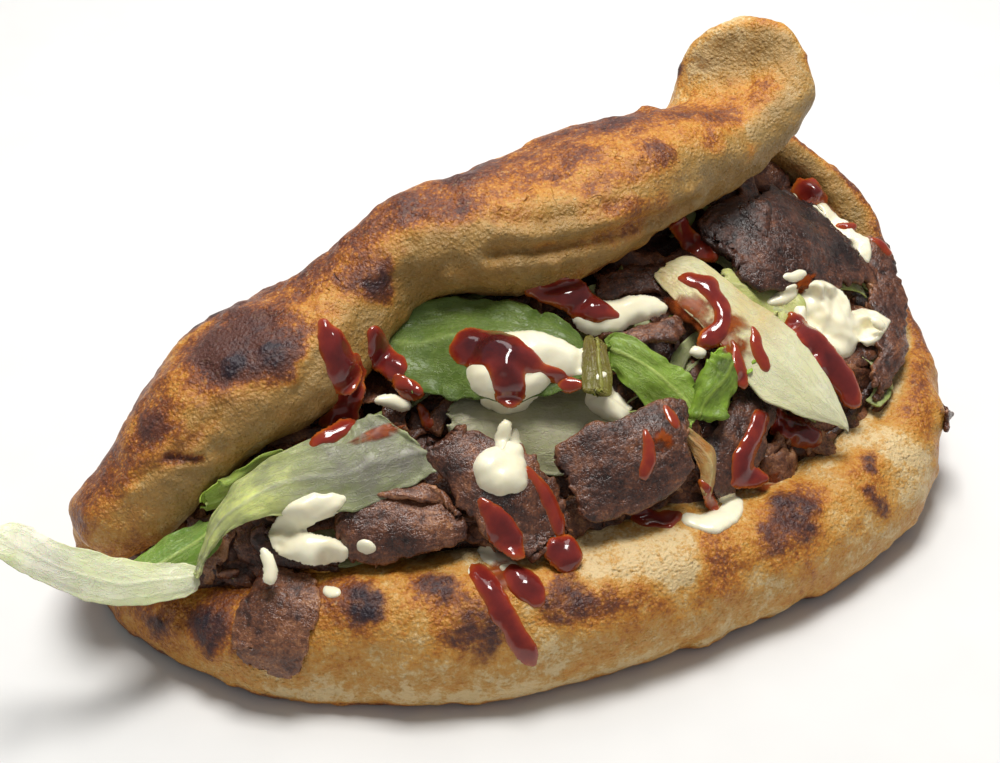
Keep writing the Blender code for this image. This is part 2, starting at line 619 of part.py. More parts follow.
def build():
    clear_scene()
    inner, outer = bread_faces(eased(BREAD_STEPS_U), eased(BREAD_STEPS_V))
    bread, heap = grid_solid("flatbread", inner, outer), filling()
    cutters = [swollen(bread, GAP)]
    boolean(heap, cutters[0], "DIFFERENCE")
    largest_body(heap)
    made = [bread, heap]
    for number, (name, look, kind, *lobes) in enumerate(PIECES):
        parts = [strip(name, kind, lobe, 10 * number + i) for i, lobe in enumerate(lobes)]
        piece = parts[0]
        for lobe in parts[1:]:
            boolean(piece, lobe, "UNION")
            bpy.data.objects.remove(lobe)
        while len(cutters) < len(made):
            cutters.append(swollen(made[len(cutters)], GAP))
        for cutter in cutters:
            if boxes_meet(piece, cutter, GAP):
                boolean(piece, cutter, "DIFFERENCE")
        largest_body(piece)
        made.append(piece)
    for cutter in cutters:
        bpy.data.objects.remove(cutter)
    centre_on_origin(made)
    for obj, look in zip(made, ["bread", "filling"] + [piece[1] for piece in PIECES]):
        finish(obj, look)


INNER, OUTER = bread_faces(DENSE, DENSE)
MIDDLE = bread_sheet(DENSE, DENSE)
FACE = front_face()
FACE_OUT = sheet_normals(FACE)
for _ in range(FACE_SMOOTHINGS):
    FACE_OUT[:, 1:-1] = (FACE_OUT[:, :-2] + 2 * FACE_OUT[:, 1:-1] + FACE_OUT[:, 2:]) / 4
build()
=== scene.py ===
"""The look of the piadina: baked bread, kebab shreds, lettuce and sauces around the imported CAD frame."""

import heapq
import json
import math

import bmesh
import bpy
import numpy as np
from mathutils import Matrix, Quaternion, Vector
from mathutils.bvhtree import BVHTree


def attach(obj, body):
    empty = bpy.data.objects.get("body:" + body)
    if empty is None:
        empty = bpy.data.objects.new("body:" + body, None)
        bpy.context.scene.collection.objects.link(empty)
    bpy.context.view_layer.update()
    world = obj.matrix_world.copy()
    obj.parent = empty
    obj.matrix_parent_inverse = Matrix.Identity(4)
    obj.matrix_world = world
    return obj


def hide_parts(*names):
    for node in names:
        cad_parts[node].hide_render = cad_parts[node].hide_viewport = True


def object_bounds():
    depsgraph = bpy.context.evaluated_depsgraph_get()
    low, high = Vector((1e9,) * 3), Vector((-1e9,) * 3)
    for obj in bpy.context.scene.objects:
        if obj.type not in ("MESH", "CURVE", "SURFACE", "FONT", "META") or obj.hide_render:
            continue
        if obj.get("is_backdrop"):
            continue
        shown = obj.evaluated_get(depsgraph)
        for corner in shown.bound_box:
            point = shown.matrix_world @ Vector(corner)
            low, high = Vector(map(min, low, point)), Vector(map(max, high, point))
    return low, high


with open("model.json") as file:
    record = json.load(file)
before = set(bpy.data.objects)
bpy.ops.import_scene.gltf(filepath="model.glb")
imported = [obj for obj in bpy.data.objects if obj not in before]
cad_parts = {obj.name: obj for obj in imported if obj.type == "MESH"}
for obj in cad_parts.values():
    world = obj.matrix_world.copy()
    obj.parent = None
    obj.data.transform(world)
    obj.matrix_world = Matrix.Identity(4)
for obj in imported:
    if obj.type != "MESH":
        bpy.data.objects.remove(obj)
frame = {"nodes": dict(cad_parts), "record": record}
CAD_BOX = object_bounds()
MM = 0.001
BODY = "root"
SCENE = bpy.context.scene

# ---- noise


def lattice(i, j, k, seed):
    """A repeatable number from -1 to 1 for each whole-numbered point."""
    h = (i * 374761393 + j * 668265263 + k * 1103515245 + seed * 1274126177) & 0xFFFFFFFF
    h = ((h ^ (h >> 13)) * 1274126177) & 0xFFFFFFFF
    h = ((h ^ (h >> 15)) * 2246822519) & 0xFFFFFFFF
    return (h ^ (h >> 16)) / 0x7FFFFFFF - 1


def noise(points, size, seed=0):
    """Smooth noise of about -1 to 1 whose lumps are about size across."""
    turned = points @ TURN / size + 1000
    whole = np.floor(turned).astype(np.int64)
    f = turned - whole
    f = f * f * f * (f * (f * 6 - 15) + 10)
    total = 0
    for corner in np.ndindex(2, 2, 2):
        weight = np.abs(1 - np.array(corner) - f).prod(-1)
        total = total + weight * lattice(*np.moveaxis(whole + corner, -1, 0), seed)
    return total


def noise3(points, size, seed=0):
    return np.stack([noise(points, size, seed + 31 * k) for k in range(3)], axis=-1)


TURN = np.array([[0.36, 0.48, -0.8], [-0.8, 0.6, 0], [0.48, 0.64, 0.6]])


def smoothstep(low, high, x):
    t = np.clip((x - low) / (high - low), 0, 1)
    return t * t * (3 - 2 * t)


def unit(v):
    return v / np.maximum(np.linalg.norm(v, axis=-1, keepdims=True), 1e-12)


OUTWARD = unit(np.array([-0.1, -0.6, 0.8]))  # straight out of the open mouth

# ---- meshes


def new_object(name, mesh):
    obj = bpy.data.objects.new(name, mesh)
    SCENE.collection.objects.link(obj)
    return obj


def from_arrays(name, vertices, faces):
    mesh = bpy.data.meshes.new(name)
    mesh.from_pydata([tuple(v) for v in vertices], [], [tuple(map(int, f)) for f in faces])
    mesh.validate()
    return new_object(name, mesh)


def apply_modifiers(obj):
    graph = bpy.context.evaluated_depsgraph_get()
    mesh = bpy.data.meshes.new_from_object(obj.evaluated_get(graph))
    obj.modifiers.clear()
    obj.data = mesh
    return obj


def copy_of(node, name):
    """A welded copy of a CAD node's mesh, with no materials or custom normals."""
    bm = bmesh.new()
    bm.from_mesh(frame["nodes"][node].data)
    bmesh.ops.remove_doubles(bm, verts=bm.verts, dist=1e-6)
    bmesh.ops.recalc_face_normals(bm, faces=bm.faces)
    mesh = bpy.data.meshes.new(name)
    bm.to_mesh(mesh)
    bm.free()
    return new_object(name, mesh)


def refine(obj, levels=0, voxel=0, smooth=0):
    """The object subdivided, remeshed and smoothed, as far as asked."""
    if levels:
        sub = obj.modifiers.new("sub", "SUBSURF")
        sub.levels = sub.render_levels = levels
        sub.uv_smooth = "NONE"
        sub.use_creases = False
    if voxel:
        remesh = obj.modifiers.new("remesh", "REMESH")
        remesh.mode = "VOXEL"
        remesh.voxel_size = voxel
    if smooth:
        ease = obj.modifiers.new("ease", "SMOOTH")
        ease.factor = 0.5
        ease.iterations = smooth
    return apply_modifiers(obj)


def arrays(obj):
    """Vertex positions and normals."""
    mesh = obj.data
    points, normals = np.empty((2, len(mesh.vertices) * 3))
    mesh.vertices.foreach_get("co", points)
    mesh.vertex_normals.foreach_get("vector", normals)
    return points.reshape(-1, 3), normals.reshape(-1, 3)


def set_points(obj, points):
    obj.data.vertices.foreach_set("co", np.ascontiguousarray(points, np.float64).ravel())
    obj.data.update()


def attribute(obj, name, values):
    layer = obj.data.attributes.new(name, "FLOAT", "POINT")
    layer.data.foreach_set("value", np.ascontiguousarray(values, np.float32))


def edges_of(obj):
    ends = np.empty(len(obj.data.edges) * 2, np.int64)
    obj.data.edges.foreach_get("vertices", ends)
    return ends.reshape(-1, 2)


def blurred(obj, values, times):
    """Values spread over neighbouring vertices."""
    ends = edges_of(obj)
    count = np.bincount(ends.ravel(), minlength=len(values))
    for _ in range(times):
        total = np.bincount(ends[:, 0], values[ends[:, 1]], len(values))
        total += np.bincount(ends[:, 1], values[ends[:, 0]], len(values))
        values = 0.5 * values + 0.5 * total / np.maximum(count, 1)
    return values


def tree_of(obj):
    mesh = obj.data
    return BVHTree.FromPolygons([v.co for v in mesh.vertices], [f.vertices[:] for f in mesh.polygons])


def restore(obj, node, times):
    """Moves an eased mesh back out to its CAD node's surface, but without the facets."""
    points, normals = arrays(obj)
    tree = tree_of(frame["nodes"][node])
    nearest = np.array([tree.find_nearest(Vector(p))[0] for p in points])
    gap = blurred(obj, ((nearest - points) * normals).sum(1), times)
    set_points(obj, points + normals * gap[:, None])


def shade_smooth(obj):
    obj.data.polygons.foreach_set("use_smooth", [True] * len(obj.data.polygons))
    obj.data.update()


def place(obj, slot, material, *nodes):
    """Finishes a piece: its material, its body and the CAD nodes that it stands for; its slot is not used."""
    shade_smooth(obj)
    obj.data.materials.clear()
    obj.data.materials.append(material)
    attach(obj, BODY)
    if nodes:
        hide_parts(*nodes)
    return obj


# ---- shader helpers


class Nodes:
    """A short way to write a node material."""

    def __init__(self, name, **sockets):
        self.material = bpy.data.materials.new(name)
        self.material.use_nodes = True
        self.tree = self.material.node_tree
        self.shader = self.tree.nodes["Principled BSDF"]
        for key, value in sockets.items():
            self.shader.inputs[key.replace("_", " ")].default_value = value

    def add(self, kind, inputs=(), **settings):
        node = self.tree.nodes.new(kind)
        for key, value in settings.items():
            setattr(node, key, value)
        for key, value in dict(inputs).items():
            if isinstance(value, bpy.types.NodeSocket):
                self.tree.links.new(value, node.inputs[key])
            else:
                node.inputs[key].default_value = value
        return node

    def link(self, socket, name):
        self.tree.links.new(socket, self.shader.inputs[name])

    def position(self):
        return self.add("ShaderNodeTexCoord").outputs["Object"]

    def attribute(self, name):
        return self.add("ShaderNodeAttribute", attribute_name=name).outputs["Fac"]

    def noise(self, size, detail=4, rough=0.55, vector=None, distortion=0):
        """Noise around 0.5 with lumps about size metres across."""
        return self.add(
            "ShaderNodeTexNoise",
            {"Vector": vector or self.position(), "Scale": 0.6 / size, "Detail": detail,
             "Roughness": rough, "Distortion": distortion},
        ).outputs["Fac"]

    def cells(self, size):
        """How far from the nearest of some points about size metres apart."""
        inputs = {"Vector": self.position(), "Scale": 1 / size}
        return self.add("ShaderNodeTexVoronoi", inputs).outputs["Distance"]

    def math(self, operation, *values):
        return self.add("ShaderNodeMath", dict(enumerate(values)), operation=operation).outputs[0]

    def times(self, a, b):
        return self.math("MULTIPLY", a, b)

    def total(self, first, *others):
        for other in others:
            first = self.math("ADD", first, other)
        return first

    def spread(self, value, low, high, to_low=0.0, to_high=1.0):
        return self.add(
            "ShaderNodeMapRange",
            {"Value": value, "From Min": low, "From Max": high, "To Min": to_low, "To Max": to_high},
        ).outputs["Result"]

    def around(self, noise, most):
        """A noise turned into -most to most."""
        return self.spread(noise, 0.3, 0.7, -most, most)

    def line(self, noise, width, strength=1.0):
        """Thin lines along which a noise passes through 0.5."""
        off = self.math("ABSOLUTE", self.math("SUBTRACT", noise, 0.5))
        return self.spread(off, 0.0, width, strength, 0.0)

    def ramp(self, value, stops):
        """Colours along a value: stops holds a colour for each of its places."""
        node = self.add("ShaderNodeValToRGB", {"Fac": value})
        ramp = node.color_ramp
        while len(ramp.elements) < len(stops):
            ramp.elements.new(0.5)
        for element, (spot, colour) in zip(ramp.elements, stops.items()):
            element.position = spot
            element.color = (*srgb(*colour), 1)
        return node.outputs["Color"]

    def mix(self, share, a, b):
        """A mix of two colours, each of them a socket or the 0 to 255 values of a screen."""
        a, b = ((*srgb(*value), 1) if isinstance(value, tuple) else value for value in (a, b))
        return self.add("ShaderNodeMix", {0: share, 6: a, 7: b}, data_type="RGBA").outputs[2]

    def bump(self, *layers):
        """Bump of (height socket, depth in metres, strength) layers."""
        normal = None
        for height, depth, strength in layers:
            inputs = {"Height": height, "Distance": depth, "Strength": strength}
            if normal:
                inputs["Normal"] = normal
            normal = self.add("ShaderNodeBump", inputs).outputs["Normal"]
        self.link(normal, "Normal")


def srgb(r, g, b):
    """A linear colour from the 0 to 255 values of a screen."""
    values = (r / 255, g / 255, b / 255)
    return tuple(c / 12.92 if c <= 0.04045 else ((c + 0.055) / 1.055) ** 2.4 for c in values)


# ---- camera, light and floor

AIM = Vector((4.4, 9.1, 46)) * MM
AZIMUTH, ELEVATION, DISTANCE, LENS = -25, 40, 0.52, 64
WORLD = 0.24  # how strong the light from all around is
# Each light: its name, azimuth, elevation, distance, side, power and colour.
LIGHTS = [
    ("key", 140, 80, 0.8, 0.3, 7.0, (1, 0.98, 0.95)),
    ("back", 160, 50, 1.0, 0.6, 3.0, (1, 1, 1)),
]


def away(azimuth, elevation):
    """The direction from the object towards an azimuth and an elevation in degrees."""
    a, e = math.radians(azimuth), math.radians(elevation)
    return Vector((math.sin(a) * math.cos(e), -math.cos(a) * math.cos(e), math.sin(e)))


def look_from(obj, azimuth, elevation, distance):
    obj.location = AIM + away(azimuth, elevation) * distance
    obj.rotation_euler = (AIM - obj.location).to_track_quat("-Z", "Y").to_euler()


def add_light(name, azimuth, elevation, distance, size, power, colour):
    data = bpy.data.lights.new(name, "AREA")
    data.size = size
    data.energy = power
    data.color = colour
    obj = bpy.data.objects.new(name, data)
    SCENE.collection.objects.link(obj)
    look_from(obj, azimuth, elevation, distance)


def studio():
    camera = bpy.data.objects.new("camera", bpy.data.cameras.new("camera"))
    camera.data.lens = LENS
    camera.data.clip_start = 0.01
    SCENE.collection.objects.link(camera)
    look_from(camera, AZIMUTH, ELEVATION, DISTANCE)
    SCENE.camera = camera
    SCENE.view_settings.view_transform = "Standard"

    floor = from_arrays("floor", [(-4, -4, 0), (4, -4, 0), (4, 4, 0), (-4, 4, 0)], [(0, 1, 2, 3)])
    m = Nodes("floor", Roughness=0.8)
    greys = {0.3: (228.5, 228.5, 227.2), 0.7: (232.4, 232.4, 231.1)}
    m.link(m.ramp(m.noise(20 * MM, 2), greys), "Base Color")
    floor.data.materials.append(m.material)
    floor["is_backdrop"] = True

    world = bpy.data.worlds.new("world")
    SCENE.world = world
    world.use_nodes = True
    world.node_tree.nodes["Background"].inputs["Color"].default_value = (1, 1, 1, 1)
    world.node_tree.nodes["Background"].inputs["Strength"].default_value = WORLD
    for light in LIGHTS:
        add_light(*light)


# ---- thin pieces


def farthest(lengths, links, start):
    """Distances along the mesh from one vertex."""
    far = np.full(len(links), np.inf)
    far[start] = 0
    queue = [(0.0, start)]
    while queue:
        d, i = heapq.heappop(queue)
        if d > far[i]:
            continue
        for j, length in zip(links[i], lengths[i]):
            if d + length < far[j]:
                far[j] = d + length
                heapq.heappush(queue, (far[j], j))
    return far


def eased(rows, times):
    """Rows smoothed along their first axis, with both ends kept."""
    for _ in range(times):
        rows[1:-1] = (rows[:-2] + 2 * rows[1:-1] + rows[2:]) / 4
    return rows


def blunted(widths, start, end):
    """The widths of a grid's rows, kept at these shares right up to its two ends, which are round."""
    u = np.linspace(0, 1, len(widths))
    for share, along in ((start, u), (end, 1 - u)):
        cap = np.sqrt(np.clip(1 - (1 - np.clip(along / 0.1, 0, 1)) ** 2, 0, 1))
        kept = share * cap[:, None] * widths[np.argmin(np.abs(along - 0.33))]
        grows = (along < 0.33)[:, None] & (np.abs(kept) > np.abs(widths))
        widths = np.where(grows, kept, widths)
    return widths


def run_of(obj):
    """The vertices of a slab-like mesh, and how far along it each lies, followed over its surface."""
    points, _ = arrays(obj)
    links, lengths = [[] for _ in points], [[] for _ in points]
    for i, j in edges_of(obj):
        d = float(np.linalg.norm(points[i] - points[j]))
        for one, other in ((i, j), (j, i)):
            links[one].append(other)
            lengths[one].append(d)
    run = farthest(lengths, links, int(np.argmax(farthest(lengths, links, 0))))
    reached = np.isfinite(run)
    points, run = points[reached], run[reached]
    if points[run.argmin(), 0] > points[run.argmax(), 0]:
        run = run.max() - run
    return points, run


def spine_of(points, run, stations, reach):
    """The middle of a slab at each station along it, and the directions across it and out of its face."""
    centres, sides = [], []
    for t in stations:
        weight = np.exp(-(((run - np.clip(t, 0.02 * run.max(), 0.98 * run.max())) / reach) ** 2))
        centres.append((points * weight[:, None]).sum(0) / weight.sum())
    centres = eased(np.array(centres), 2)
    along = unit(np.gradient(centres, axis=0))
    for t, centre, heading in zip(stations, centres, along):
        weight = np.exp(-(((run - t) / (1.3 * reach)) ** 2))
        offset = points - centre
        offset = offset - (offset @ heading)[:, None] * heading
        side = np.linalg.eigh((offset * weight[:, None]).T @ offset)[1][:, -1]
        sides.append(side if not sides or side @ sides[-1] > 0 else -side)
    sides = unit(eased(np.array(sides), 4))
    sides = unit(sides - (sides * along).sum(1)[:, None] * along)
    out = unit(np.cross(along, sides))
    facing = 1 if (out @ OUTWARD).mean() >= 0 else -1
    return centres, sides * facing, out * facing


def spine_grid(node, rows=22, columns=11, blunt=(0, 0)):
    """The middle surface of a slab-like CAD node as a grid of points, and the slab's half thickness there."""
    obj = copy_of(node, node + "_spine")
    for _ in range(2):
        sub = obj.modifiers.new("sub", "SUBSURF")
        sub.subdivision_type = "SIMPLE"
        sub.levels = 1
    apply_modifiers(obj)
    tree = tree_of(obj)
    points, run = run_of(obj)
    bpy.data.objects.remove(obj)
    stations = np.linspace(0, run.max(), rows)
    reach = max(run.max() / rows * 1.5, 2.2 * MM)
    centres, sides, out = spine_of(points, run, stations, reach)
    widths = []
    for t, centre, side in zip(stations, centres, sides):
        across = (points[np.abs(run - t) < reach] - centre) @ side
        widths.append((across.min(), across.max()))
    widths = blunted(eased(np.array(widths), 1), *blunt)
    s = np.linspace(0, 1, columns)
    flat = centres[:, None] + sides[:, None] * (widths[:, :1] * (1 - s) + widths[:, 1:] * s)[..., None]
    rise, thick = np.full(flat.shape[:2], np.nan), np.full(flat.shape[:2], np.nan)
    far = 12 * MM
    for i, j in np.ndindex(rows, columns):
        spot, direction = Vector(flat[i, j]), Vector(out[i])
        top = tree.ray_cast(spot + direction * far, -direction, 2 * far)
        low = tree.ray_cast(spot - direction * far, direction, 2 * far)
        if top[0] is not None and low[0] is not None:
            rise[i, j] = (low[3] - top[3]) / 2
            thick[i, j] = (2 * far - top[3] - low[3]) / 2
    grid = flat + out[:, None] * filled(rise)[..., None]
    for _ in range(2):
        grid = eased(eased(grid, 1).swapaxes(0, 1).copy(), 1).swapaxes(0, 1).copy()
    return grid, filled(thick)


def beside(values):
    """For each value of a table, the mean of the four beside it."""
    padded = np.pad(values, 1, mode="edge")
    return (padded[:-2, 1:-1] + padded[2:, 1:-1] + padded[1:-1, :-2] + padded[1:-1, 2:]) / 4


def filled(values):
    """The table with its gaps filled from their neighbours."""
    known = np.isfinite(values)
    values = np.where(known, values, np.nanmean(values))
    for _ in range(60):
        values = np.where(known, values, beside(values))
    return values


def finer(grid, rows, columns):
    """The grid sampled again, smoothly, at more rows and columns."""
    for axis, count in ((0, rows), (1, columns)):
        old = np.linspace(0, 1, grid.shape[axis])
        new = np.linspace(0, 1, count)
        grid = np.moveaxis(grid, axis, 0)
        i = np.clip(np.searchsorted(old, new) - 1, 0, len(old) - 2)
        t = ((new - old[i]) / (old[1] - old[0])).reshape(-1, *[1] * (grid.ndim - 1))
        before, after = grid[np.maximum(i - 1, 0)], grid[np.minimum(i + 2, len(old) - 1)]
        a, b = grid[i], grid[i + 1]
        curved = (2 * before - 5 * a + 4 * b - after) * t**2 + (3 * a - before - 3 * b + after) * t**3
        grid = np.moveaxis(0.5 * (2 * a + (b - before) * t + curved), 0, axis)
    return grid


def normals_of(grid):
    return unit(np.cross(np.gradient(grid, axis=0), np.gradient(grid, axis=1)))


def shell(upper, lower, quads):
    """A closed body between two layers of points that share their four-sided faces: its points and faces."""
    n = len(upper)
    starts, ends = quads.ravel(), np.roll(quads, -1, 1).ravel()
    border = ~np.isin(starts * n + ends, ends * n + starts)
    walls = np.stack([ends, starts, starts + n, ends + n], -1)[border]
    return np.concatenate([upper, lower]), np.concatenate([quads, quads[:, [0, 3, 2, 1]] + n, walls])


def quads_of(index):
    """The four-sided faces of a table of point numbers, without those that lack a point (-1)."""
    quads = np.stack([index[:-1, :-1], index[1:, :-1], index[1:, 1:], index[:-1, 1:]], -1).reshape(-1, 4)
    return quads[(quads >= 0).all(1)]


def sheet(grid, half, fields):
    """A closed thin sheet about a grid of points, with half its thickness to each side."""
    normal = normals_of(grid) * half[..., None]
    quads = quads_of(np.arange(half.size).reshape(half.shape))
    points, faces = shell((grid + normal).reshape(-1, 3), (grid - normal).reshape(-1, 3), quads)
    return points, faces, {k: np.tile(v.ravel(), 2) for k, v in fields.items()}


def joined(name, parts):
    """One object from several sheets."""
    starts = np.cumsum([0] + [len(p[0]) for p in parts])
    faces = np.concatenate([p[1] + start for p, start in zip(parts, starts)])
    obj = from_arrays(name, np.concatenate([p[0] for p in parts]), faces)
    for key in parts[0][2]:
        attribute(obj, key, np.concatenate([p[2][key] for p in parts]))
    return obj


def scales(grid):
    """How far each point of a grid lies along and across it: as shares from its middle, and in metres."""
    rows, columns = grid.shape[:2]
    a = np.linspace(-1, 1, rows)[:, None] * np.ones(columns)
    s = np.linspace(-1, 1, columns)[None] * np.ones((rows, 1))
    length = np.linalg.norm(np.gradient(grid, axis=0), axis=-1).mean() * rows
    width = np.linalg.norm(np.gradient(grid, axis=1), axis=-1).max(axis=0).mean() * columns
    return a, s, a * length / 2, s * width / 2


def ragged_outline(grid, share, size, seed):
    """The grid with its outline torn in and out: share is of its width, size that of the larger teeth."""
    a, s, along, across = scales(grid)
    side = np.stack([along, np.sign(s) * 1.0, np.zeros_like(a)], -1)
    teeth = noise(side, size, seed) + 0.5 * noise(side, size / 3, seed + 1)
    middle = grid[:, grid.shape[1] // 2][:, None]
    grid = middle + (grid - middle) * (1 + share * teeth * np.abs(s) ** 1.5)[..., None]
    end = np.stack([across, np.sign(a) * 1.0, np.zeros_like(a)], -1)
    teeth = noise(end, size, seed + 2) + 0.5 * noise(end, size / 3, seed + 3)
    push = share * teeth * smoothstep(0.6, 1, np.abs(a)) * np.abs(across).max()
    return grid + unit(np.gradient(grid, axis=0)) * push[..., None]


# ---- bread

BREAD_VOXEL = 1.36 * MM
# Where the crust is baked darker (or, below zero, paler) than around it: each spot's place as seen from above
# and its radius, in millimetres, then how much. Beyond CHAR_FROM it is charred.
BAKED = [
    (-73, 13, 4, 0.95), (-62, 11, 4.5, 0.95), (-70, 39, 3, 0.8), (-76, 39, 3, 0.8), (-68, 17, 10, 0.5),
    (-75, 21, 7, 0.4), (-60, 7, 4, 0.5), (-30, 18, 5, 0.62), (-28, 16, 3.5, 0.45), (-97, 13, 4, 0.45),
    (-64, 33, 6, 0.35), (-110, 19, 7, 0.2), (-122, 13, 7, 0.24), (-92, 33, 7, 0.22), (-39, 35, 8, 0.22),
    (-51, 43, 7, 0.2), (-15, 33, 7, 0.22), (-3, 23, 5, 0.3), (6, 38, 6, 0.3), (19, 45, 6, 0.25),
    (41, 43, 7, 0.22), (53, 45, 7, 0.3), (60, 38, 6, 0.25), (58, 18, 4, 0.5), (87, 32, 6, 0.22),
    (78, 20, 4, 0.32), (90, 21, 3.5, 0.28), (61, 10, 3, 0.25), (90, 62, 3, 0.75), (121, 39, 3, 0.3),
    (112, 49, 4, 0.26), (116, 39, 4, 0.16), (-110, -10, 4, 0.75), (-98, -24, 5, 0.75),
    (-60, -43, 4.5, 0.95), (-66, -37, 5, 0.3), (-40, -47, 5.5, 0.6), (-34, -61, 7, 0.55),
    (-10, -64, 6, 0.5), (0, -67, 4, 0.35), (64, -60, 7, 0.62), (56, -64, 6, 0.35), (72, -55, 4, 0.3),
    (94, -51, 3.5, 0.6), (93, -62, 3.5, 0.6), (35, -68, 8, 0.2), (113, -42, 6, 0.25),
    (-69, -48, 7, 0.16), (-80, -39, 6, 0.18), (124, -36, 4, 0.25), (8, -54, 7, -0.3), (22, -62, 6, -0.5),
    (25, -57, 5, -0.3), (108, -48, 6, -0.25), (110, -54, 6, -0.28), (-21, -62, 3, -0.2),
    (-1, -60, 5, -0.2),
]
# Folds pressed into the crust: width and depth in millimetres, how far they are darkened, and their points.
CREASES = [
    (2.6, 2.3, 0.2, [(3, 12, 91), (20, 5, 91), (45, 6, 92), (67, 14, 88)]),
    (2.6, 0.6, 0.16, [(8, 16, 97), (18, 12, 97), (28, 9, 97), (36, 8, 97)]),
    (2.6, 0.6, 0.18, [(38, 9, 97), (46, 8, 96), (54, 10, 95)]),
    (1.0, 0.8, 0.10, [(20, 26, 104), (27, 22, 105), (32, 21, 105), (35, 24, 106)]),
    (0.8, 0.5, 0.14, [(38, 31, 107), (44, 27, 106), (51, 29, 107)]),
    (1.3, 1.1, 0.5, [(-96, 3, 59), (-92, 2, 59), (-88, 1, 59)]),
    (1.8, 0.7, 0.05, [(-106, 5, 52), (-98, 3, 56), (-88, 4, 64), (-78, 5, 70)]),
    (1.6, 0.5, 0.05, [(-60, 2, 70), (-50, 6, 78), (-42, 12, 86)]),
]
CHAR_FROM = 0.34
FLAP = (45, 65)  # the heights in millimetres between which the flap's own skin takes over
FRECKLES, BUBBLES = 420, 900
HEAP_MIDDLE = (10, 5)  # about where the filling is highest, in millimetres


def line_distance(points, path):
    """How far each point lies from a line through the path's points."""
    nearest = np.full(len(points), np.inf)
    for a, b in zip(path[:-1], path[1:]):
        t = np.clip((points - a) @ (b - a) / ((b - a) @ (b - a)), 0, 1)
        nearest = np.minimum(nearest, np.linalg.norm(points - a - t[:, None] * (b - a), axis=1))
    return nearest


def on_surface(tree, places):
    """The points of a surface nearest to places in millimetres."""
    return np.array([tree.find_nearest(Vector(place) * MM)[0] for place in places])


def seen_from_above(tree, places):
    """The points of a surface that show straight above places in millimetres, or else the nearest to them."""
    return np.array([
        tree.ray_cast(Vector((x, y, 200)) * MM, Vector((0, 0, -1)))[0]
        or tree.find_nearest(Vector((x, y, 30)) * MM)[0]
        for x, y in places
    ])


def crust_tone(points, normals, warped, facing):
    """How dark the crust is baked, from 0 for pale to about 1, before its spots."""
    x, y, z = points.T / MM
    front = smoothstep(-20, -45, y)
    tone = 0.40 + 0.12 * noise(points, 22 * MM, 1) + 0.12 * noise(warped, 8 * MM, 2)
    # The flap's own skin is streaked along the fold.
    streaks = noise(warped * np.array((0.35, 1.0, 1.3)), 6 * MM, 21)
    # The front, towards the camera, is paler: partly the dough's own colour, partly painted light for the
    # lamp light that the front lacks.
    tone += 0.12 * smoothstep(0.3, 0.95, normals[:, 2]) - 0.20 * front
    tone += smoothstep(*FLAP, z) * (0.06 + 0.13 * streaks)
    tone -= 0.32 * smoothstep(76, 92, x) * smoothstep(88, 98, z)
    # The front of the upper layer is pale, and so is the lower rim where it turns in towards the filling.
    tone -= 0.28 * facing * smoothstep(35, 50, z)
    inward = unit(np.array(HEAP_MIDDLE) * MM - points[:, :2])
    inward = (normals[:, :2] * inward).sum(1) + 0.15 * noise(points, 6 * MM, 32)
    tone -= 0.55 * smoothstep(0.0, 0.45, inward) * smoothstep(48, 40, z) * smoothstep(6, 14, z)
    # The thin wall at the right is browned, and so is the edge on the table, under a pale band at the left.
    tone += 0.3 * smoothstep(136, 142, x)
    band = smoothstep(11, 7, z + 2.5 * noise(points, 14 * MM, 8))
    tone -= 0.22 * band * smoothstep(35, 5, x) * front
    return tone + 0.60 * smoothstep(5.5, 2, z + 1.5 * noise(points, 5 * MM, 9))


def crust_relief(points, warped):
    """How far the crust swells out, in millimetres, before its spots."""
    relief = 1.5 * noise(points, 30 * MM, 11) + 0.9 * noise(warped, 13 * MM, 12)
    relief += 0.42 * noise(warped, 6 * MM, 13) + 0.24 * noise(points, 3.0 * MM, 14)
    # The flap's own skin is wrinkled across the fold.
    wrinkles = noise(warped * np.array((1.5, 0.6, 0.6)), 4.2 * MM, 22)
    return relief + 0.3 * smoothstep(*FLAP, points[:, 2] / MM) * wrinkles


def add_spots(tree, points, warped, tone, relief):
    """Adds spots, freckles, bubbles and creases to tone and relief, and gives how charred each point is."""
    rng = np.random.default_rng(7)
    char = np.zeros(len(points))
    for middle, (*_, radius, change) in zip(seen_from_above(tree, [spot[:2] for spot in BAKED]), BAKED):
        far = np.linalg.norm(warped - middle, axis=1) / (radius * MM)
        tone += min(change, CHAR_FROM) * smoothstep(2.1, 0.4, far)
        if change > CHAR_FROM:
            char = np.maximum(char, change * smoothstep(1.75, 0.5, far))
            relief += 0.6 * smoothstep(1.5, 0.3, far)
    for index in rng.integers(0, len(points), FRECKLES):
        radius = rng.uniform(1.0, 3.6) * MM
        share = smoothstep(1.6, 0.3, np.linalg.norm(warped - points[index], axis=1) / radius)
        tone += rng.uniform(-0.12, 0.2) * share
    for index in rng.integers(0, len(points), BUBBLES):
        radius = rng.uniform(1.1, 3.8) * MM
        far = np.linalg.norm(points - points[index], axis=1) / radius
        relief += rng.uniform(0.1, 0.3) * radius / MM * np.clip(1 - far**2, 0, 1)
    for width, depth, darkened, path in CREASES:
        far = line_distance(0.7 * points + 0.3 * warped, on_surface(tree, path)) / (width * MM)
        relief += depth * (0.55 * smoothstep(3.4, 1.6, far) - 1.55 * smoothstep(1.4, 0.0, far))
        tone += darkened * smoothstep(1.5, 0.3, far)
    return char


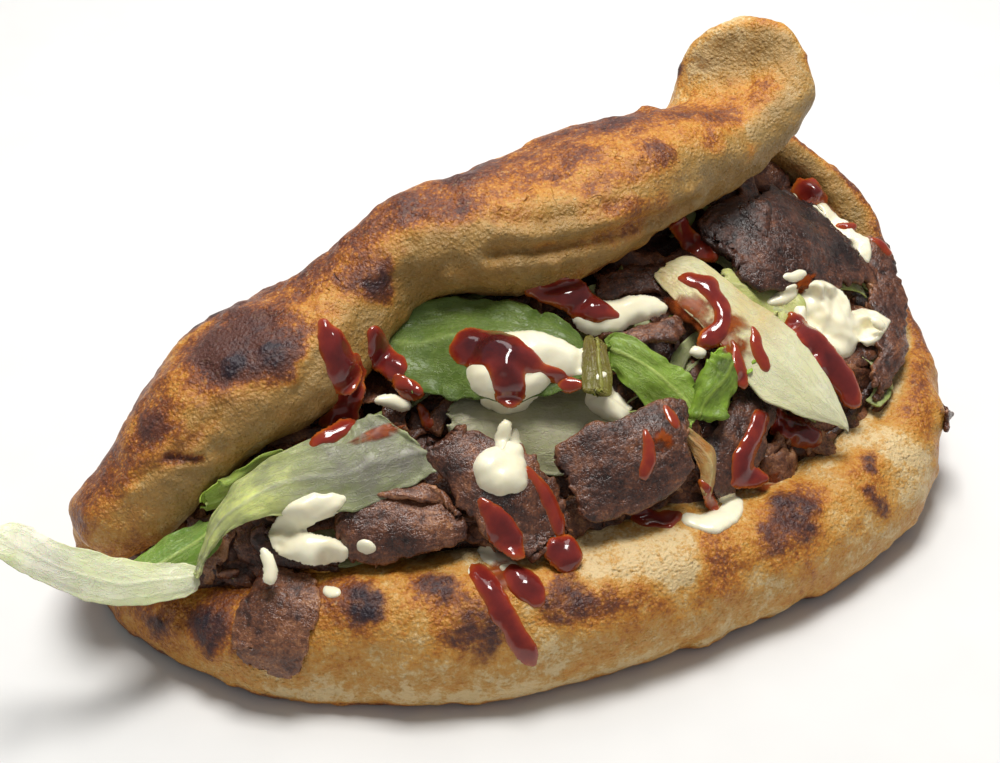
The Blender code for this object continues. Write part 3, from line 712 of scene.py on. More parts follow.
def bread():
    obj = refine(copy_of("flatbread", "bread"), levels=2, voxel=BREAD_VOXEL, smooth=16)
    restore(obj, "flatbread", 60)
    points, normals = arrays(obj)
    warped = points + noise3(points, 11 * MM, 3) * 2.6 * MM + noise3(points, 4 * MM, 5) * 1.6 * MM
    facing = smoothstep(0.25, 0.8, normals @ unit(np.array([-0.2, -1, 0.1])))
    tone, relief = crust_tone(points, normals, warped, facing), crust_relief(points, warped)
    char = add_spots(tree_of(obj), points, warped, tone, relief)
    x, _, z = points.T / MM
    lifted = points + normals * relief[:, None] * MM
    lifted[:, 2] = np.where(z < 1.2, points[:, 2], np.maximum(lifted[:, 2], 0.3 * MM))
    low, high = np.array(CAD_BOX)
    set_points(obj, np.clip(lifted, low - 1 * MM * np.array([1, 1, 0]), high + 1 * MM))
    attribute(obj, "tone", np.clip(tone, 0, 1.3))
    attribute(obj, "char", char)
    # Painted shade: the pale front of the flap, where it faces the camera, is darkened towards khaki.
    painted_front_shade = facing * smoothstep(30, 48, z) * smoothstep(0.62, 0.22, tone)
    attribute(obj, "painted_front_shade", np.clip(painted_front_shade * (1 + 0.45 * noise(warped, 9 * MM, 31)), 0, 1))
    crest = smoothstep(0.5, 0.9, normals[:, 2]) * smoothstep(70, 90, z) * smoothstep(80, 65, x)
    attribute(obj, "crest", crest)
    return place(obj, "bread", bread_material(), "flatbread")


def bread_material():
    m = Nodes("baked_dough", Specular_IOR_Level=0.45, Subsurface_Weight=0.1, Subsurface_Scale=2 * MM,
              Subsurface_Radius=(1.0, 0.5, 0.25))
    coarse, fine, grain = m.noise(4.5 * MM, 5, 0.65), m.noise(1.4 * MM, 5, 0.65), m.noise(0.55 * MM, 4, 0.65)
    domes = m.math("SMOOTH_MIN", m.cells(1.3 * MM), 0.5, 0.2)
    seams = m.spread(domes, 0.2, 0.5, -0.10, 0.10)
    seams = m.times(seams, m.spread(m.attribute("tone"), 0.25, 0.55))
    crack = m.line(m.noise(16 * MM, 3, 0.5, distortion=0.6), 0.006)
    crack = m.times(crack, m.attribute("crest"))
    crack = m.times(crack, m.spread(m.noise(6 * MM, 2), 0.52, 0.6))
    tone = m.total(m.attribute("tone"), m.around(coarse, 0.16), m.around(fine, 0.17), m.around(grain, 0.13),
                   seams, m.times(crack, 0.25))
    colour = m.ramp(m.times(tone, 0.83), {
        0.0: (222, 194, 142), 0.13: (206, 160, 88), 0.28: (202, 142, 56), 0.43: (184, 114, 34),
        0.57: (142, 78, 26), 0.72: (112, 58, 32), 0.90: (78, 42, 34),
    })
    # Painted shade: the flap's pale front is mixed towards a darker khaki.
    painted_shade_colour = m.mix(m.spread(m.noise(3.5 * MM, 4, 0.65), 0.35, 0.65), (142, 112, 60), (168, 130, 70))
    colour = m.mix(m.times(m.attribute("painted_front_shade"), 0.85), colour, painted_shade_colour)
    # Charring breaks up into a brown mottle with black-purple hearts.
    burnt = m.total(m.attribute("char"), m.around(coarse, 0.28), m.around(fine, 0.2))
    burnt = m.times(burnt, m.spread(m.attribute("char"), 0.0, 0.25))
    colour = m.mix(m.spread(burnt, 0.05, 0.7, 0.0, 0.92), colour, (94, 52, 38))
    colour = m.mix(m.spread(burnt, 0.45, 0.95, 0.0, 1.0), colour, (38, 24, 34))
    flour = m.spread(m.noise(1.0 * MM, 5, 0.7), 0.57, 0.72, 0, 0.35)
    flour = m.times(flour, m.spread(m.attribute("char"), 0.1, 0.4, 1.0, 0.25))
    m.link(m.mix(flour, colour, (222, 196, 150)), "Base Color")
    m.link(m.spread(m.noise(2 * MM, 3), 0.3, 0.7, 0.28, 0.56), "Roughness")
    m.bump((m.noise(2.2 * MM, 4, 0.65), 1.1 * MM, 0.75), (domes, -0.8 * MM, 0.75), (fine, 0.6 * MM, 0.5),
           (grain, 0.45 * MM, 0.7), (crack, -0.6 * MM, 0.8))
    return m.material


# ---- lettuce

# Each leaf: its name after "lettuce_", how blunt its two ends are, how far its edges frill and wave in
# millimetres, how ragged its outline is as a share of its width, half its thickness in millimetres, how far
# its ribs stand out, and its colours: rib, blade and edge.
LEAVES = [
    ("shaded", (0.8, 0.8), 0.8, 1.4, 0.12, 0.3, 0.4, (206, 202, 176), (186, 182, 152), (164, 164, 124)),
    ("back", (0.8, 0.9), 0.8, 1.2, 0.14, 0.3, 0.4, (220, 218, 172), (200, 200, 130), (172, 180, 96)),
    ("left_low", (0.5, 0.9), 0.8, 1.0, 0.16, 0.25, 0.8, (200, 216, 130), (142, 172, 76), (112, 146, 56)),
    ("left_high", (0.6, 1.0), 1.3, 1.6, 0.2, 0.25, 0.6, (222, 236, 156), (202, 222, 116), (172, 202, 84)),
    ("tail", (0.9, 0.6), 0.5, 0.8, 0.10, 0.5, 0.3, (240, 240, 218), (234, 236, 204), (222, 228, 176)),
    # The pale leaf's grey blade is painted shade.
    ("pale", (0.5, 1.0), 1.0, 0.9, 0.10, 0.3, 0.6, (180, 178, 164), (128, 124, 114), (150, 156, 112)),
    ("mid", (0.8, 0.9), 1.3, 1.5, 0.16, 0.28, 0.8, (180, 196, 108), (106, 132, 44), (140, 170, 66)),
    ("frill", (0.7, 0.8), 3.4, 1.6, 0.3, 0.25, 0.8, (140, 160, 66), (72, 92, 28), (150, 186, 62)),
    ("wedge", (0.8, 0.2), 0.2, 0.5, 0.06, 0.7, 0.12, (234, 232, 204), (226, 224, 190), (216, 214, 170)),
    ("dark", (0.9, 0.3), 1.0, 1.6, 0.10, 0.28, 0.7, (140, 158, 88), (98, 118, 48), (76, 98, 34)),
    ("stub", (0.9, 0.9), 0.3, 0.4, 0.06, 0.8, 0.8, (150, 150, 70), (112, 108, 40), (100, 84, 30)),
    ("curl", (0.8, 0.8), 0.6, 0.8, 0.14, 0.35, 0.4, (220, 214, 166), (206, 194, 134), (176, 120, 60)),
]
# Leaves that are narrow where they start, and widen along their upper edge: the share of their width there.
NARROWED = {"pale": 0.24}
# Leaves that swell and then narrow to a point: where along them they start to narrow, and how far they swell.
POINTED = {"wedge": (0.62, 0.3), "left_low": (0.6, 0.0)}
# Leaves that have another colour where they start. The pale leaf's brighter start is partly its own
# yellow-green, partly painted light.
STARTS = {"pale": (236, 246, 146), "wedge": (206, 182, 122), "tail": (244, 242, 222)}


def leaf_sheet(grid, frill, wave, ragged, half, veins, seed):
    """A grid made a lettuce leaf: torn outline, waves, frilled edges and ribs that rise along it."""
    grid = ragged_outline(grid, ragged, 6 * MM, seed)
    a, s, along, across = scales(grid)
    flat = np.stack([along, across, np.zeros_like(a)], -1)
    edge = np.maximum(smoothstep(0.35, 1, np.abs(s)), smoothstep(0.8, 1, np.abs(a)))
    rise = wave * noise(flat, 12 * MM, seed + 4) + 0.3 * wave * noise(flat, 5 * MM, seed + 8)
    rise += frill * edge * (noise(flat, 4.5 * MM, seed + 5) + 0.4 * noise(flat, 2.2 * MM, seed + 6))
    wander = s + 0.25 * noise(flat, 12 * MM, seed + 7)
    fan = 5 * wander + 1.8 * noise(flat * [0.4, 1, 1], 6 * MM, seed + 9)
    ribs = smoothstep(0.80, 1, np.abs(((fan % 1) - 0.5) * 2)) * smoothstep(1, 0.5, np.abs(s))
    middle = smoothstep(0.12, 0, np.abs(wander))
    rise += veins * (0.2 * middle + 0.1 * ribs)
    grid = grid + normals_of(grid) * (rise * MM)[..., None]
    thin = half * MM * (0.5 + 0.5 * smoothstep(1, 0.6, np.abs(s))) * (1 + veins * (0.8 * middle + 0.2 * ribs))
    rib = np.clip(veins * (middle + 0.5 * ribs), 0, 1)
    fields = {"rib": rib, "edge": edge, "along": along / MM, "across": across / MM, "share": (a + 1) / 2}
    return sheet(grid, thin, fields)


def leaf(name, blunt, frill, wave, ragged, half, veins, rib, blade, edge, seed):
    node = "lettuce_" + name
    grid = finer(spine_grid(node, blunt=blunt)[0], 84, 36)
    t = np.linspace(0, 1, len(grid))
    if name in NARROWED:
        top = 0 if grid[:, 0, 2].mean() > grid[:, -1, 2].mean() else -1
        kept = NARROWED[name] + (1 - NARROWED[name]) * smoothstep(0.12, 0.6, t)
        grid = grid[:, top][:, None] + (grid - grid[:, top][:, None]) * kept[:, None, None]
    if name in POINTED:
        turn, swell = POINTED[name]
        spine = grid.mean(1)[:, None]
        kept = 1 + swell * np.exp(-(((t - turn) / 0.25) ** 2))
        kept = kept * (1 - 0.9 * np.clip((t - turn) / (1 - turn), 0, 1) ** 1.25)
        grid = spine + (grid - spine) * kept[:, None, None]
    obj = joined(node + "_leaf", [leaf_sheet(grid, frill, wave, ragged, half, veins, seed)])
    slot = {n["node"]: n["material_slot"] for n in frame["record"]["subparts"]}[node]
    return place(obj, slot, leaf_material(node + "_leaf", rib, blade, edge, STARTS.get(name, blade)), node)


def leaf_material(name, rib, blade, edge, start):
    m = Nodes(name, Roughness=0.42, Specular_IOR_Level=0.35, Subsurface_Weight=0.3, Subsurface_Scale=1.2 * MM,
              Subsurface_Radius=(0.6, 1.0, 0.25))
    stretched = {"X": m.times(m.attribute("along"), 0.3 * MM),
                 "Y": m.times(m.attribute("across"), MM)}
    grain = m.add("ShaderNodeCombineXYZ", stretched).outputs[0]
    strand = m.noise(2.2 * MM, 5, 0.65, vector=grain, distortion=0.4)
    net = m.noise(3.2 * MM, 3, 0.6, distortion=1.2)
    vein = m.math("MAXIMUM", m.line(strand, 0.03), m.line(net, 0.02, 0.7))
    patches = m.spread(m.noise(7 * MM, 4, 0.6), 0.35, 0.65)
    tint = m.mix(m.spread(m.attribute("edge"), 0.3, 1.0, 0.0, 0.7), m.mix(patches, blade, edge), edge)
    reach = m.total(m.attribute("share"), m.around(m.noise(8 * MM, 3), 0.08))
    tint = m.mix(m.spread(reach, 0.4, 0.62, 0.95, 0.0), tint, m.mix(patches, start, edge))
    pale = m.math("MAXIMUM", m.attribute("rib"), m.times(vein, 0.3))
    m.link(m.mix(m.times(pale, 0.8), tint, rib), "Base Color")
    m.bump((strand, 0.4 * MM, 0.45), (vein, 0.2 * MM, 0.6), (m.noise(0.9 * MM, 3), 0.3 * MM, 0.45))
    return m.material


# ---- meat

# Each slice: its name after "meat_", how blunt its two ends are, how ragged its outline is as a share of its
# width, its lumps in millimetres, how thick it is as a share of its CAD slab, the angle of its fibres in
# degrees and its tone.
MEATS = [
    ("oval", (0.9, 0.9), 0.06, 0.15, 0.75, 25, 0.46),
    ("chunk", (0.8, 0.7), 0.24, 0.8, 0.75, 60, 0.50),
    ("slab_left", (0.9, 0.9), 0.14, 0.5, 0.8, 10, 0.50),
    ("slab_back", (0.9, 0.9), 0.18, 0.8, 0.7, 30, 0.27),
    ("folds", (0.8, 0.8), 0.25, 0.7, 0.7, 80, 0.40),
    ("right", (0.7, 0.7), 0.35, 0.9, 0.8, 40, 0.46),
    ("under_flap", (0.8, 0.9), 0.25, 0.8, 0.8, 0, 0.38),
    ("left_bits", (0.7, 0.7), 0.35, 0.7, 0.8, 0, 0.42),
    ("strip_left", (0.5, 0.8), 0.3, 0.6, 0.9, 0, 0.56),
    ("strip_mid", (0.7, 0.8), 0.3, 0.6, 0.9, 0, 0.56),
    ("on_rim", (0.7, 0.8), 0.14, 0.2, 0.7, 90, 0.62),
    ("crumb", (0.7, 0.7), 0.35, 0.5, 1.0, 0, 0.50),
]


def slice_sheet(grid, half, ragged, lumps, fibres, tone, seed):
    """A grid made a slice of meat: torn outline, lumps, small pits and edges that thin out unevenly."""
    grid = ragged_outline(grid, ragged, 4.5 * MM, seed)
    a, s, along, across = scales(grid)
    rise = lumps * (noise(grid, 10 * MM, seed + 4) + 0.2 * noise(grid, 4 * MM, seed + 5))
    pit = smoothstep(0.4, 0.75, noise(grid, 2.6 * MM, seed + 6))
    rise += 0.2 * noise(grid, 1.6 * MM, seed + 7) + 0.12 * noise(grid, 0.9 * MM, seed + 3)
    rise -= 0.25 * lumps * pit
    round_ = np.clip(1 - np.abs(s) ** 6, 0, 1) ** 0.4 * np.clip(1 - np.abs(a) ** 14, 0, 1) ** 0.4
    half = half * (0.2 + 0.8 * round_) * (1 + 0.2 * noise(grid, 6 * MM, seed + 8))
    grid = grid + normals_of(grid) * (rise * MM)[..., None]
    turn = math.radians(fibres)
    fields = {
        "grain": (across * math.cos(turn) + along * math.sin(turn)) / MM,
        "tone": tone + 0.14 * noise(grid, 9 * MM, seed + 9) - 0.25 * pit + 0.22 * (1 - round_),
    }
    return sheet(grid, half, fields)


def meat(name, blunt, ragged, lumps, thick, fibres, tone, seed):
    node = "meat_" + name
    grid, half = spine_grid(node, blunt=blunt)
    length = np.linalg.norm(np.diff(grid, axis=0), axis=-1).sum(0).mean()
    rows = int(np.clip(length / (0.5 * MM), 30, 105))
    half = np.full((rows, rows // 2), np.median(finer(half, rows, rows // 2) * thick))
    part = slice_sheet(finer(grid, rows, rows // 2), half, ragged, lumps, fibres, tone, seed)
    return place(joined(node + "_slice", [part]), "meat", MEAT, node)


def meat_material():
    m = Nodes("roast_meat", Specular_IOR_Level=0.6, Subsurface_Weight=0.08, Subsurface_Scale=1.0 * MM,
              Subsurface_Radius=(1.0, 0.4, 0.25))
    across = m.add("ShaderNodeCombineXYZ", {"X": m.times(m.attribute("grain"), MM)}).outputs[0]
    along = m.add("ShaderNodeVectorMath", {0: m.position(), 1: (0.12,) * 3}, operation="MULTIPLY").outputs[0]
    fibres = m.add("ShaderNodeVectorMath", {0: across, 1: along}, operation="ADD").outputs[0]
    stripes = m.noise(0.8 * MM, 3, 0.6, vector=fibres)
    blotch, fine, speck = m.noise(5 * MM, 5, 0.65), m.noise(1.2 * MM, 4, 0.65), m.noise(0.4 * MM, 3, 0.6)
    tone = m.total(m.attribute("tone"), m.around(blotch, 0.26), m.around(fine, 0.14), m.around(stripes, 0.11),
                   m.around(speck, 0.16))
    m.link(m.ramp(tone, {
        0.0: (30, 16, 14), 0.25: (60, 34, 26), 0.5: (94, 56, 40), 0.75: (134, 86, 58), 1.0: (178, 126, 86),
    }), "Base Color")
    m.link(m.spread(m.noise(3 * MM, 3), 0.35, 0.65, 0.16, 0.42), "Roughness")
    m.bump((m.noise(0.8 * MM, 3, 0.75), 0.6 * MM, 1.0), (m.noise(1.8 * MM, 3), 0.6 * MM, 0.6),
           (stripes, 0.25 * MM, 0.4))
    return m.material


# ---- the heap of filling

CORE_DEPTH = 5.5  # how far the core is sunk where the heap lies open, in millimetres
SHREDS, SLIVERS = 190, 46
# The directions from which the open mouth may be seen.
SKY = [away(azimuth, elevation) for azimuth in (-70, -25, 15, 60) for elevation in (15, 45, 75)]


def core():
    """The heap's inside, sunk where it lies open and toned dark as painted shade between the shreds. Gives
    the heap's own outline, and how open it lies.
    """
    obj = refine(copy_of("filling", "filling_core"), levels=2, voxel=1.8 * MM, smooth=8)
    points, normals = arrays(obj)
    crust = tree_of(frame["nodes"]["flatbread"])
    spots = [Vector(p) for p in points + normals * MM]
    seen = [sum(crust.ray_cast(spot, d)[0] is None for d in SKY) for spot in spots]
    open_ = blurred(obj, np.array(seen) / len(SKY) * smoothstep(-0.2, 0.3, normals @ OUTWARD), 6)
    outline = tree_of(obj)
    relief = 1.6 * noise(points, 8 * MM, 61) + 0.9 * noise(points, 3.5 * MM, 62)
    sink = smoothstep(0.0, 0.25, open_) * CORE_DEPTH
    set_points(obj, points - normals * ((sink + relief * smoothstep(0, 0.2, open_)) * MM)[:, None])
    # The core's dark tone is painted shade in the gaps between the shreds.
    attribute(obj, "tone", 0.22 + 0.1 * noise(points, 6 * MM, 63))
    attribute(obj, "grain", points[:, 0] / MM)
    place(obj, "filling", MEAT, "filling")
    return outline, points, open_


def strand(outline, start, heading, length, width, height, turn, tilt, rows, columns):
    """A grid of points for a strip that creeps over the heap, with its height and tilt given row by row."""
    spot, going = Vector(start), Vector(heading)
    spots, ups = [], []
    for i in range(rows):
        near, up = outline.find_nearest(spot)[:2]
        up = (up + Vector(OUTWARD)).normalized()
        going = going - up * going.dot(up)
        going.rotate(Quaternion(up, turn / rows))
        going.normalize()
        spots.append(near + up * height[i])
        ups.append(up)
        spot = near + going * (length / rows)
    spots, ups = eased(np.array(spots), 3), np.array(ups)
    along = unit(np.gradient(spots, axis=0))
    side = unit(np.cross(ups, along))
    side = side * np.cos(tilt)[:, None] + np.cross(along, side) * np.sin(tilt)[:, None]
    s = np.linspace(-1, 1, columns)
    return spots[:, None] + side[:, None] * (s * width / 2)[None, :, None]


def strands(outline, points, open_, count, rows, columns, kind, seed):
    """Strips of one kind scattered over the open face of the heap. kind holds the ranges of their sizes."""
    rng = np.random.default_rng(seed)
    chance = np.where(open_ > 0.12, 0.3 + open_, 0)
    u = np.linspace(-1, 1, rows)
    for number, index in enumerate(rng.choice(len(points), count, p=chance / chance.sum())):
        length, width = rng.uniform(*kind["length"]), rng.uniform(*kind["width"])
        angle = rng.normal(0, kind["stray"])
        heading = np.array([math.cos(angle), math.sin(angle), 0])
        low, high = kind["depth"]
        height = low + (high - low) * number / count + rng.uniform(-0.6, 0.6)
        height = height + rng.uniform(*kind["arch"]) * (1 - u**2) + rng.uniform(*kind["lift"]) * u
        tilt = rng.normal(0, kind["tilt"]) + rng.normal(0, kind["twist"]) * u
        start = points[index] - heading * length / 2 * MM
        yield rng, number, strand(outline, start, heading, length * MM, width * MM, height * MM,
                                  rng.normal(0, kind["turn"]), tilt, rows, columns)


# The sizes of strips in millimetres, and how far they turn in radians: ranges, or how far they vary.
MEAT_STRIPS = {"length": (12, 30), "width": (5, 12), "stray": 0.8, "depth": (-4.5, -1.0), "arch": (-1.5, 2.0),
               "lift": (-1.5, 1.5), "tilt": 0.35, "twist": 0.5, "turn": 0.7}
LETTUCE_STRIPS = {"length": (12, 34), "width": (2, 6), "stray": 1.2, "depth": (-2.5, 0.2),
                  "arch": (-1.0, 2.5), "lift": (-1.5, 1.5), "tilt": 0.5, "twist": 0.9, "turn": 1.4}


def heap():
    """The core, with torn meat and slivers of lettuce over its open face."""
    outline, points, open_ = core()
    parts = []
    for rng, number, grid in strands(outline, points, open_, SHREDS, 25, 9, MEAT_STRIPS, 21):
        half = np.full(grid.shape[:2], rng.uniform(0.8, 1.5) * MM)
        fibres, tone = rng.uniform(0, 60), rng.uniform(0.36, 0.74)
        parts.append(slice_sheet(grid, half, 0.32, 0.7, fibres, tone, 1000 + 11 * number))
    place(joined("meat_shreds", parts), "meat", MEAT, "filling")
    parts = []
    for rng, number, grid in strands(outline, points, open_, SLIVERS, 30, 7, LETTUCE_STRIPS, 22):
        parts.append(leaf_sheet(grid, 0.5, 0.6, 0.2, 0.28, 0.4, 5000 + 13 * number))
    blade = (190, 192, 146)
    material = leaf_material("lettuce_slivers", (214, 214, 180), blade, (150, 164, 84), blade)
    place(joined("lettuce_slivers", parts), "leaf_pale", material, "filling")


# ---- sauces

# Small drips beside the ones that the CAD holds: what each is of, the CAD node that it lies by, how far right
# of and above that node's middle (as seen along OUTWARD), its length and half width, all in millimetres, and
# its turn in degrees.
DABS = [
    ("sauce", "sauce_flap", 0, 10, 15, 4.8, -85), ("sauce", "sauce_flap", 14, 8, 11, 4.2, -75),
    ("mayo", "mayo_drop", 3, 7, 7, 1.8, 60), ("sauce", "sauce_flap", 17, -3, 7, 2.5, -55),
    ("sauce", "sauce_flap", -7, -10, 12, 2.4, 15), ("sauce", "sauce_flap", 20, -12, 6, 1.4, -80),
    ("sauce", "meat_oval", 4, 0, 12, 2, -110), ("sauce", "meat_oval", 15, 8, 6, 1.8, -90),
    ("sauce", "sauce_wedge", 2, -18, 12, 2, -95), ("sauce", "sauce_wedge", 10, -16, 12, 2, -95),
    ("sauce", "sauce_ear", 5, -15, 5, 1.6, -20), ("sauce", "sauce_chunk", 14, 4, 18, 2.4, -85),
    ("sauce", "mayo_leaf", 9, -10, 4, 2, -20), ("sauce", "sauce_fold", -17, -8, 8, 1.8, -70),
    ("sauce", "mayo_back", 10, -12, 7, 1.7, -55),
    ("mayo", "sauce_flap", 12, -6, 8, 1.8, -25), ("mayo", "mayo_right", -12, 16, 7, 1.6, 0),
    ("mayo", "mayo_right", -17, 11, 9, 2.2, 10), ("mayo", "mayo_right", 9, -5, 3, 1.3, -45),
    ("mayo", "mayo_mid", 17, -18, 3, 1.4, -15), ("mayo", "mayo_left", 12, -8, 3, 1.9, -25),
    ("mayo", "mayo_left", -14, -4, 8, 1.6, -90), ("mayo", "mayo_left", 0, -16, 3, 1.7, -40),
    ("mayo", "mayo_low", -8, 0, 3, 1.4, 45),
]
# Thin films of oily sauce: the CAD node that each lies by, how far right of and above its middle, half its
# length and width, all in millimetres, and its turn in degrees.
FILMS = [
    ("sauce_wedge", 0, -2, 11, 6, -50), ("sauce_wedge", 1, -10, 9, 4, -60), ("sauce_flap", -14, -9, 5, 2, 10),
    ("sauce_flap", 5, -14, 9, 2, 0), ("meat_oval", 9, 2, 4, 3, 60),
    ("sauce_flap", 2, -4, 5, 3, 80), ("sauce_long", 1, 9, 6, 4, 60), ("sauce_fold", 3, -10, 5, 2, 10),
    ("mayo_right", -9, 13, 5, 2, 20), ("mayo_leaf", 3, -5, 7, 2, 10),
]
FILM_DEPTH = 0.22  # in millimetres
FILM_SLOPE = 8 * MM  # how far below or above its middle a film may still lie
# How high a drip stands as a share of its half width, and how blunt its edge is.
LIQUIDS = {"mayo": (0.62, 0.62), "sauce": (0.46, 0.8)}
# The steps along a small drip, the grid that drips are made on, and how far they go on past their edge.
FLOW_STEP, CELL, SKIRT = 0.4 * MM, 0.4 * MM, 0.6 * MM
CAD = set(frame["nodes"].values())
# Right and up as seen along OUTWARD.
ACROSS = unit(np.array([1, 0, 0]) - OUTWARD[0] * OUTWARD)
UPWARD = np.cross(OUTWARD, ACROSS)
VIEW = np.stack([ACROSS, UPWARD, OUTWARD])
FULLER = 0.6 * MM  # how far a drip spreads past its CAD outline
REST, NEAR = 6 * MM, 5 * MM  # how far a drip may settle, and over what distance it settles evenly


def ground(graph, spot, above, below):
    """How far above a spot what shows there lies, or below it if negative. None if nothing does."""
    start = Vector(spot) + Vector(OUTWARD) * above
    for _ in range(12):
        far = (start - Vector(spot)).dot(Vector(OUTWARD))
        hit = SCENE.ray_cast(graph, start, -Vector(OUTWARD), distance=far + below)
        if not hit[0]:
            return None
        if hit[4].original not in CAD:
            return (hit[1] - Vector(spot)).dot(Vector(OUTWARD))
        start = hit[1] - Vector(OUTWARD) * 1e-5
    return None


def solid_flow(node):
    """The middle line of a CAD drip as discs seen along OUTWARD: how far across and up, level and radius."""
    obj = copy_of(node, node + "_seen")
    tree, seen = tree_of(obj), arrays(obj)[0] @ VIEW.T
    bpy.data.objects.remove(obj)
    low, top = seen.min(0) - CELL, seen.max(0) + 2 * CELL
    cells = np.stack(np.meshgrid(*[np.arange(low[i], top[i], CELL) for i in (0, 1)], indexing="ij"), -1)
    level = np.full(cells.shape[:2], np.nan)
    for i, j in np.ndindex(*level.shape):
        spot, ahead = cells[i, j] @ VIEW[:2], Vector(OUTWARD)
        front = tree.ray_cast(Vector(spot + top[2] * OUTWARD), -ahead)
        back = tree.ray_cast(Vector(spot + low[2] * OUTWARD), ahead)
        if front[0] is not None and back[0] is not None:
            level[i, j] = (top[2] - front[3] + low[2] + back[3]) / 2
    covered = np.isfinite(level)
    far = np.zeros(level.shape)
    far[covered] = np.linalg.norm(cells[covered][:, None] - cells[~covered], axis=-1).min(1)
    padded = np.pad(far, 1)
    steps = [(i, j) for i in range(3) for j in range(3)]
    highest = np.max([padded[i : i + len(far), j : j + far.shape[1]] for i, j in steps], axis=0)
    middle = covered & (far > highest - 0.5 * CELL)
    return np.concatenate([cells[middle], level[middle][:, None], far[middle][:, None] + FULLER], -1)


def middle_of(node):
    seen = arrays(frame["nodes"][node])[0] @ VIEW.T
    return (seen.min(0) + seen.max(0)) / 2


def dab_flow(node, right, above, length, half, turn, seed):
    """Discs along a small drip that lies by a CAD node: a wavering line that is widest below its middle."""
    t = np.linspace(-1, 1, max(5, int(length * MM / FLOW_STEP)))
    c, s = math.cos(math.radians(turn)), math.sin(math.radians(turn))
    waver = 0.1 * length * noise(np.stack([t, 0 * t, 0 * t], -1), 0.9, seed)
    line = np.array([right, above]) + t[:, None] * np.array([c, s]) * length / 2
    line = line + waver[:, None] * np.array([-s, c])
    width = half * (1 - 0.35 * (t - 0.3) ** 2)
    middle = middle_of(node)
    return np.concatenate([middle[:2] + line * MM, np.full((len(t), 1), middle[2]), width[:, None] * MM], -1)


def settled(graph, flows):
    """The discs of a drip moved along OUTWARD onto what shows there."""
    gaps = [ground(graph, flow[:3] @ VIEW, 5 * REST, REST) for flow in flows]
    gaps = np.array([0 if gap is None else gap for gap in gaps])
    near = np.exp(-((np.linalg.norm(flows[:, None, :2] - flows[:, :2], axis=-1) / NEAR) ** 2))
    flows[:, 2] += near @ gaps / near.sum(1)
    return flows


def softened(values, times):
    """A table with each value spread over its neighbours."""
    for _ in range(times):
        values = 0.5 * values + 0.5 * beside(values)
    return values


def drip(graph, name, kind, flows, seed, node=None):
    """One drip of sauce or mayonnaise: a thick wet patch with rounded edges, following what it lies on."""
    high, blunt = LIQUIDS[kind]
    flows = settled(graph, flows)
    low, top = ((flows[:, :2] + sign * (flows[:, 3:] + 3 * SKIRT)) for sign in (-1, 1))
    sides = [np.arange(a, b, CELL) for a, b in zip(low.min(0), top.max(0))]
    cells = np.stack(np.meshgrid(*sides, indexing="ij"), -1)
    reach = flows[:, 3] - np.linalg.norm(cells[:, :, None] - flows[:, :2], axis=-1)
    nearest = reach.argmax(-1)
    radius, level = softened(flows[nearest, 3], 40), softened(flows[nearest, 2], 30)
    flat = np.concatenate([cells, np.zeros_like(cells[..., :1])], -1)
    wobble = 0.2 * noise(flat, 4 * MM, seed) + 0.1 * noise(flat, 1.7 * MM, seed + 1)
    inside = softened(reach.max(-1) + wobble * np.minimum(radius, 3 * MM), 4)
    spots = cells[..., :1] * ACROSS + cells[..., 1:] * UPWARD + level[..., None] * OUTWARD
    wanted = inside > -SKIRT
    gaps = np.full(wanted.shape, np.nan)
    for i, j in np.argwhere(wanted):
        slope = radius[i, j] + 1.2 * MM
        gap = ground(graph, spots[i, j], slope, slope)
        gaps[i, j] = np.nan if gap is None else gap
    gaps = softened(filled(gaps), 10) if np.isfinite(gaps).any() else np.zeros_like(level)
    share = np.clip(inside / radius, 0, 1)
    rise = high * radius * np.clip(1 - (1 - share) ** 2, 0, 1) ** blunt
    rise *= 1 + 0.12 * noise(flat, 4 * MM, seed + 2)
    sink = np.minimum(inside, 0)
    upper = spots + OUTWARD * (gaps + rise + sink)[..., None]
    lower = spots + OUTWARD * (gaps - SKIRT - 0.3 * MM)[..., None]
    index = np.full(wanted.shape, -1)
    index[wanted] = np.arange(wanted.sum())
    points, faces = shell(upper[wanted], lower[wanted], quads_of(index))
    depth = np.tile(rise[wanted] / MM, 2)
    obj = refine(joined(name, [(points, faces, {"depth": depth})]), smooth=5)
    return place(obj, kind, SAUCE if kind == "sauce" else MAYO, *([node] if node else []))


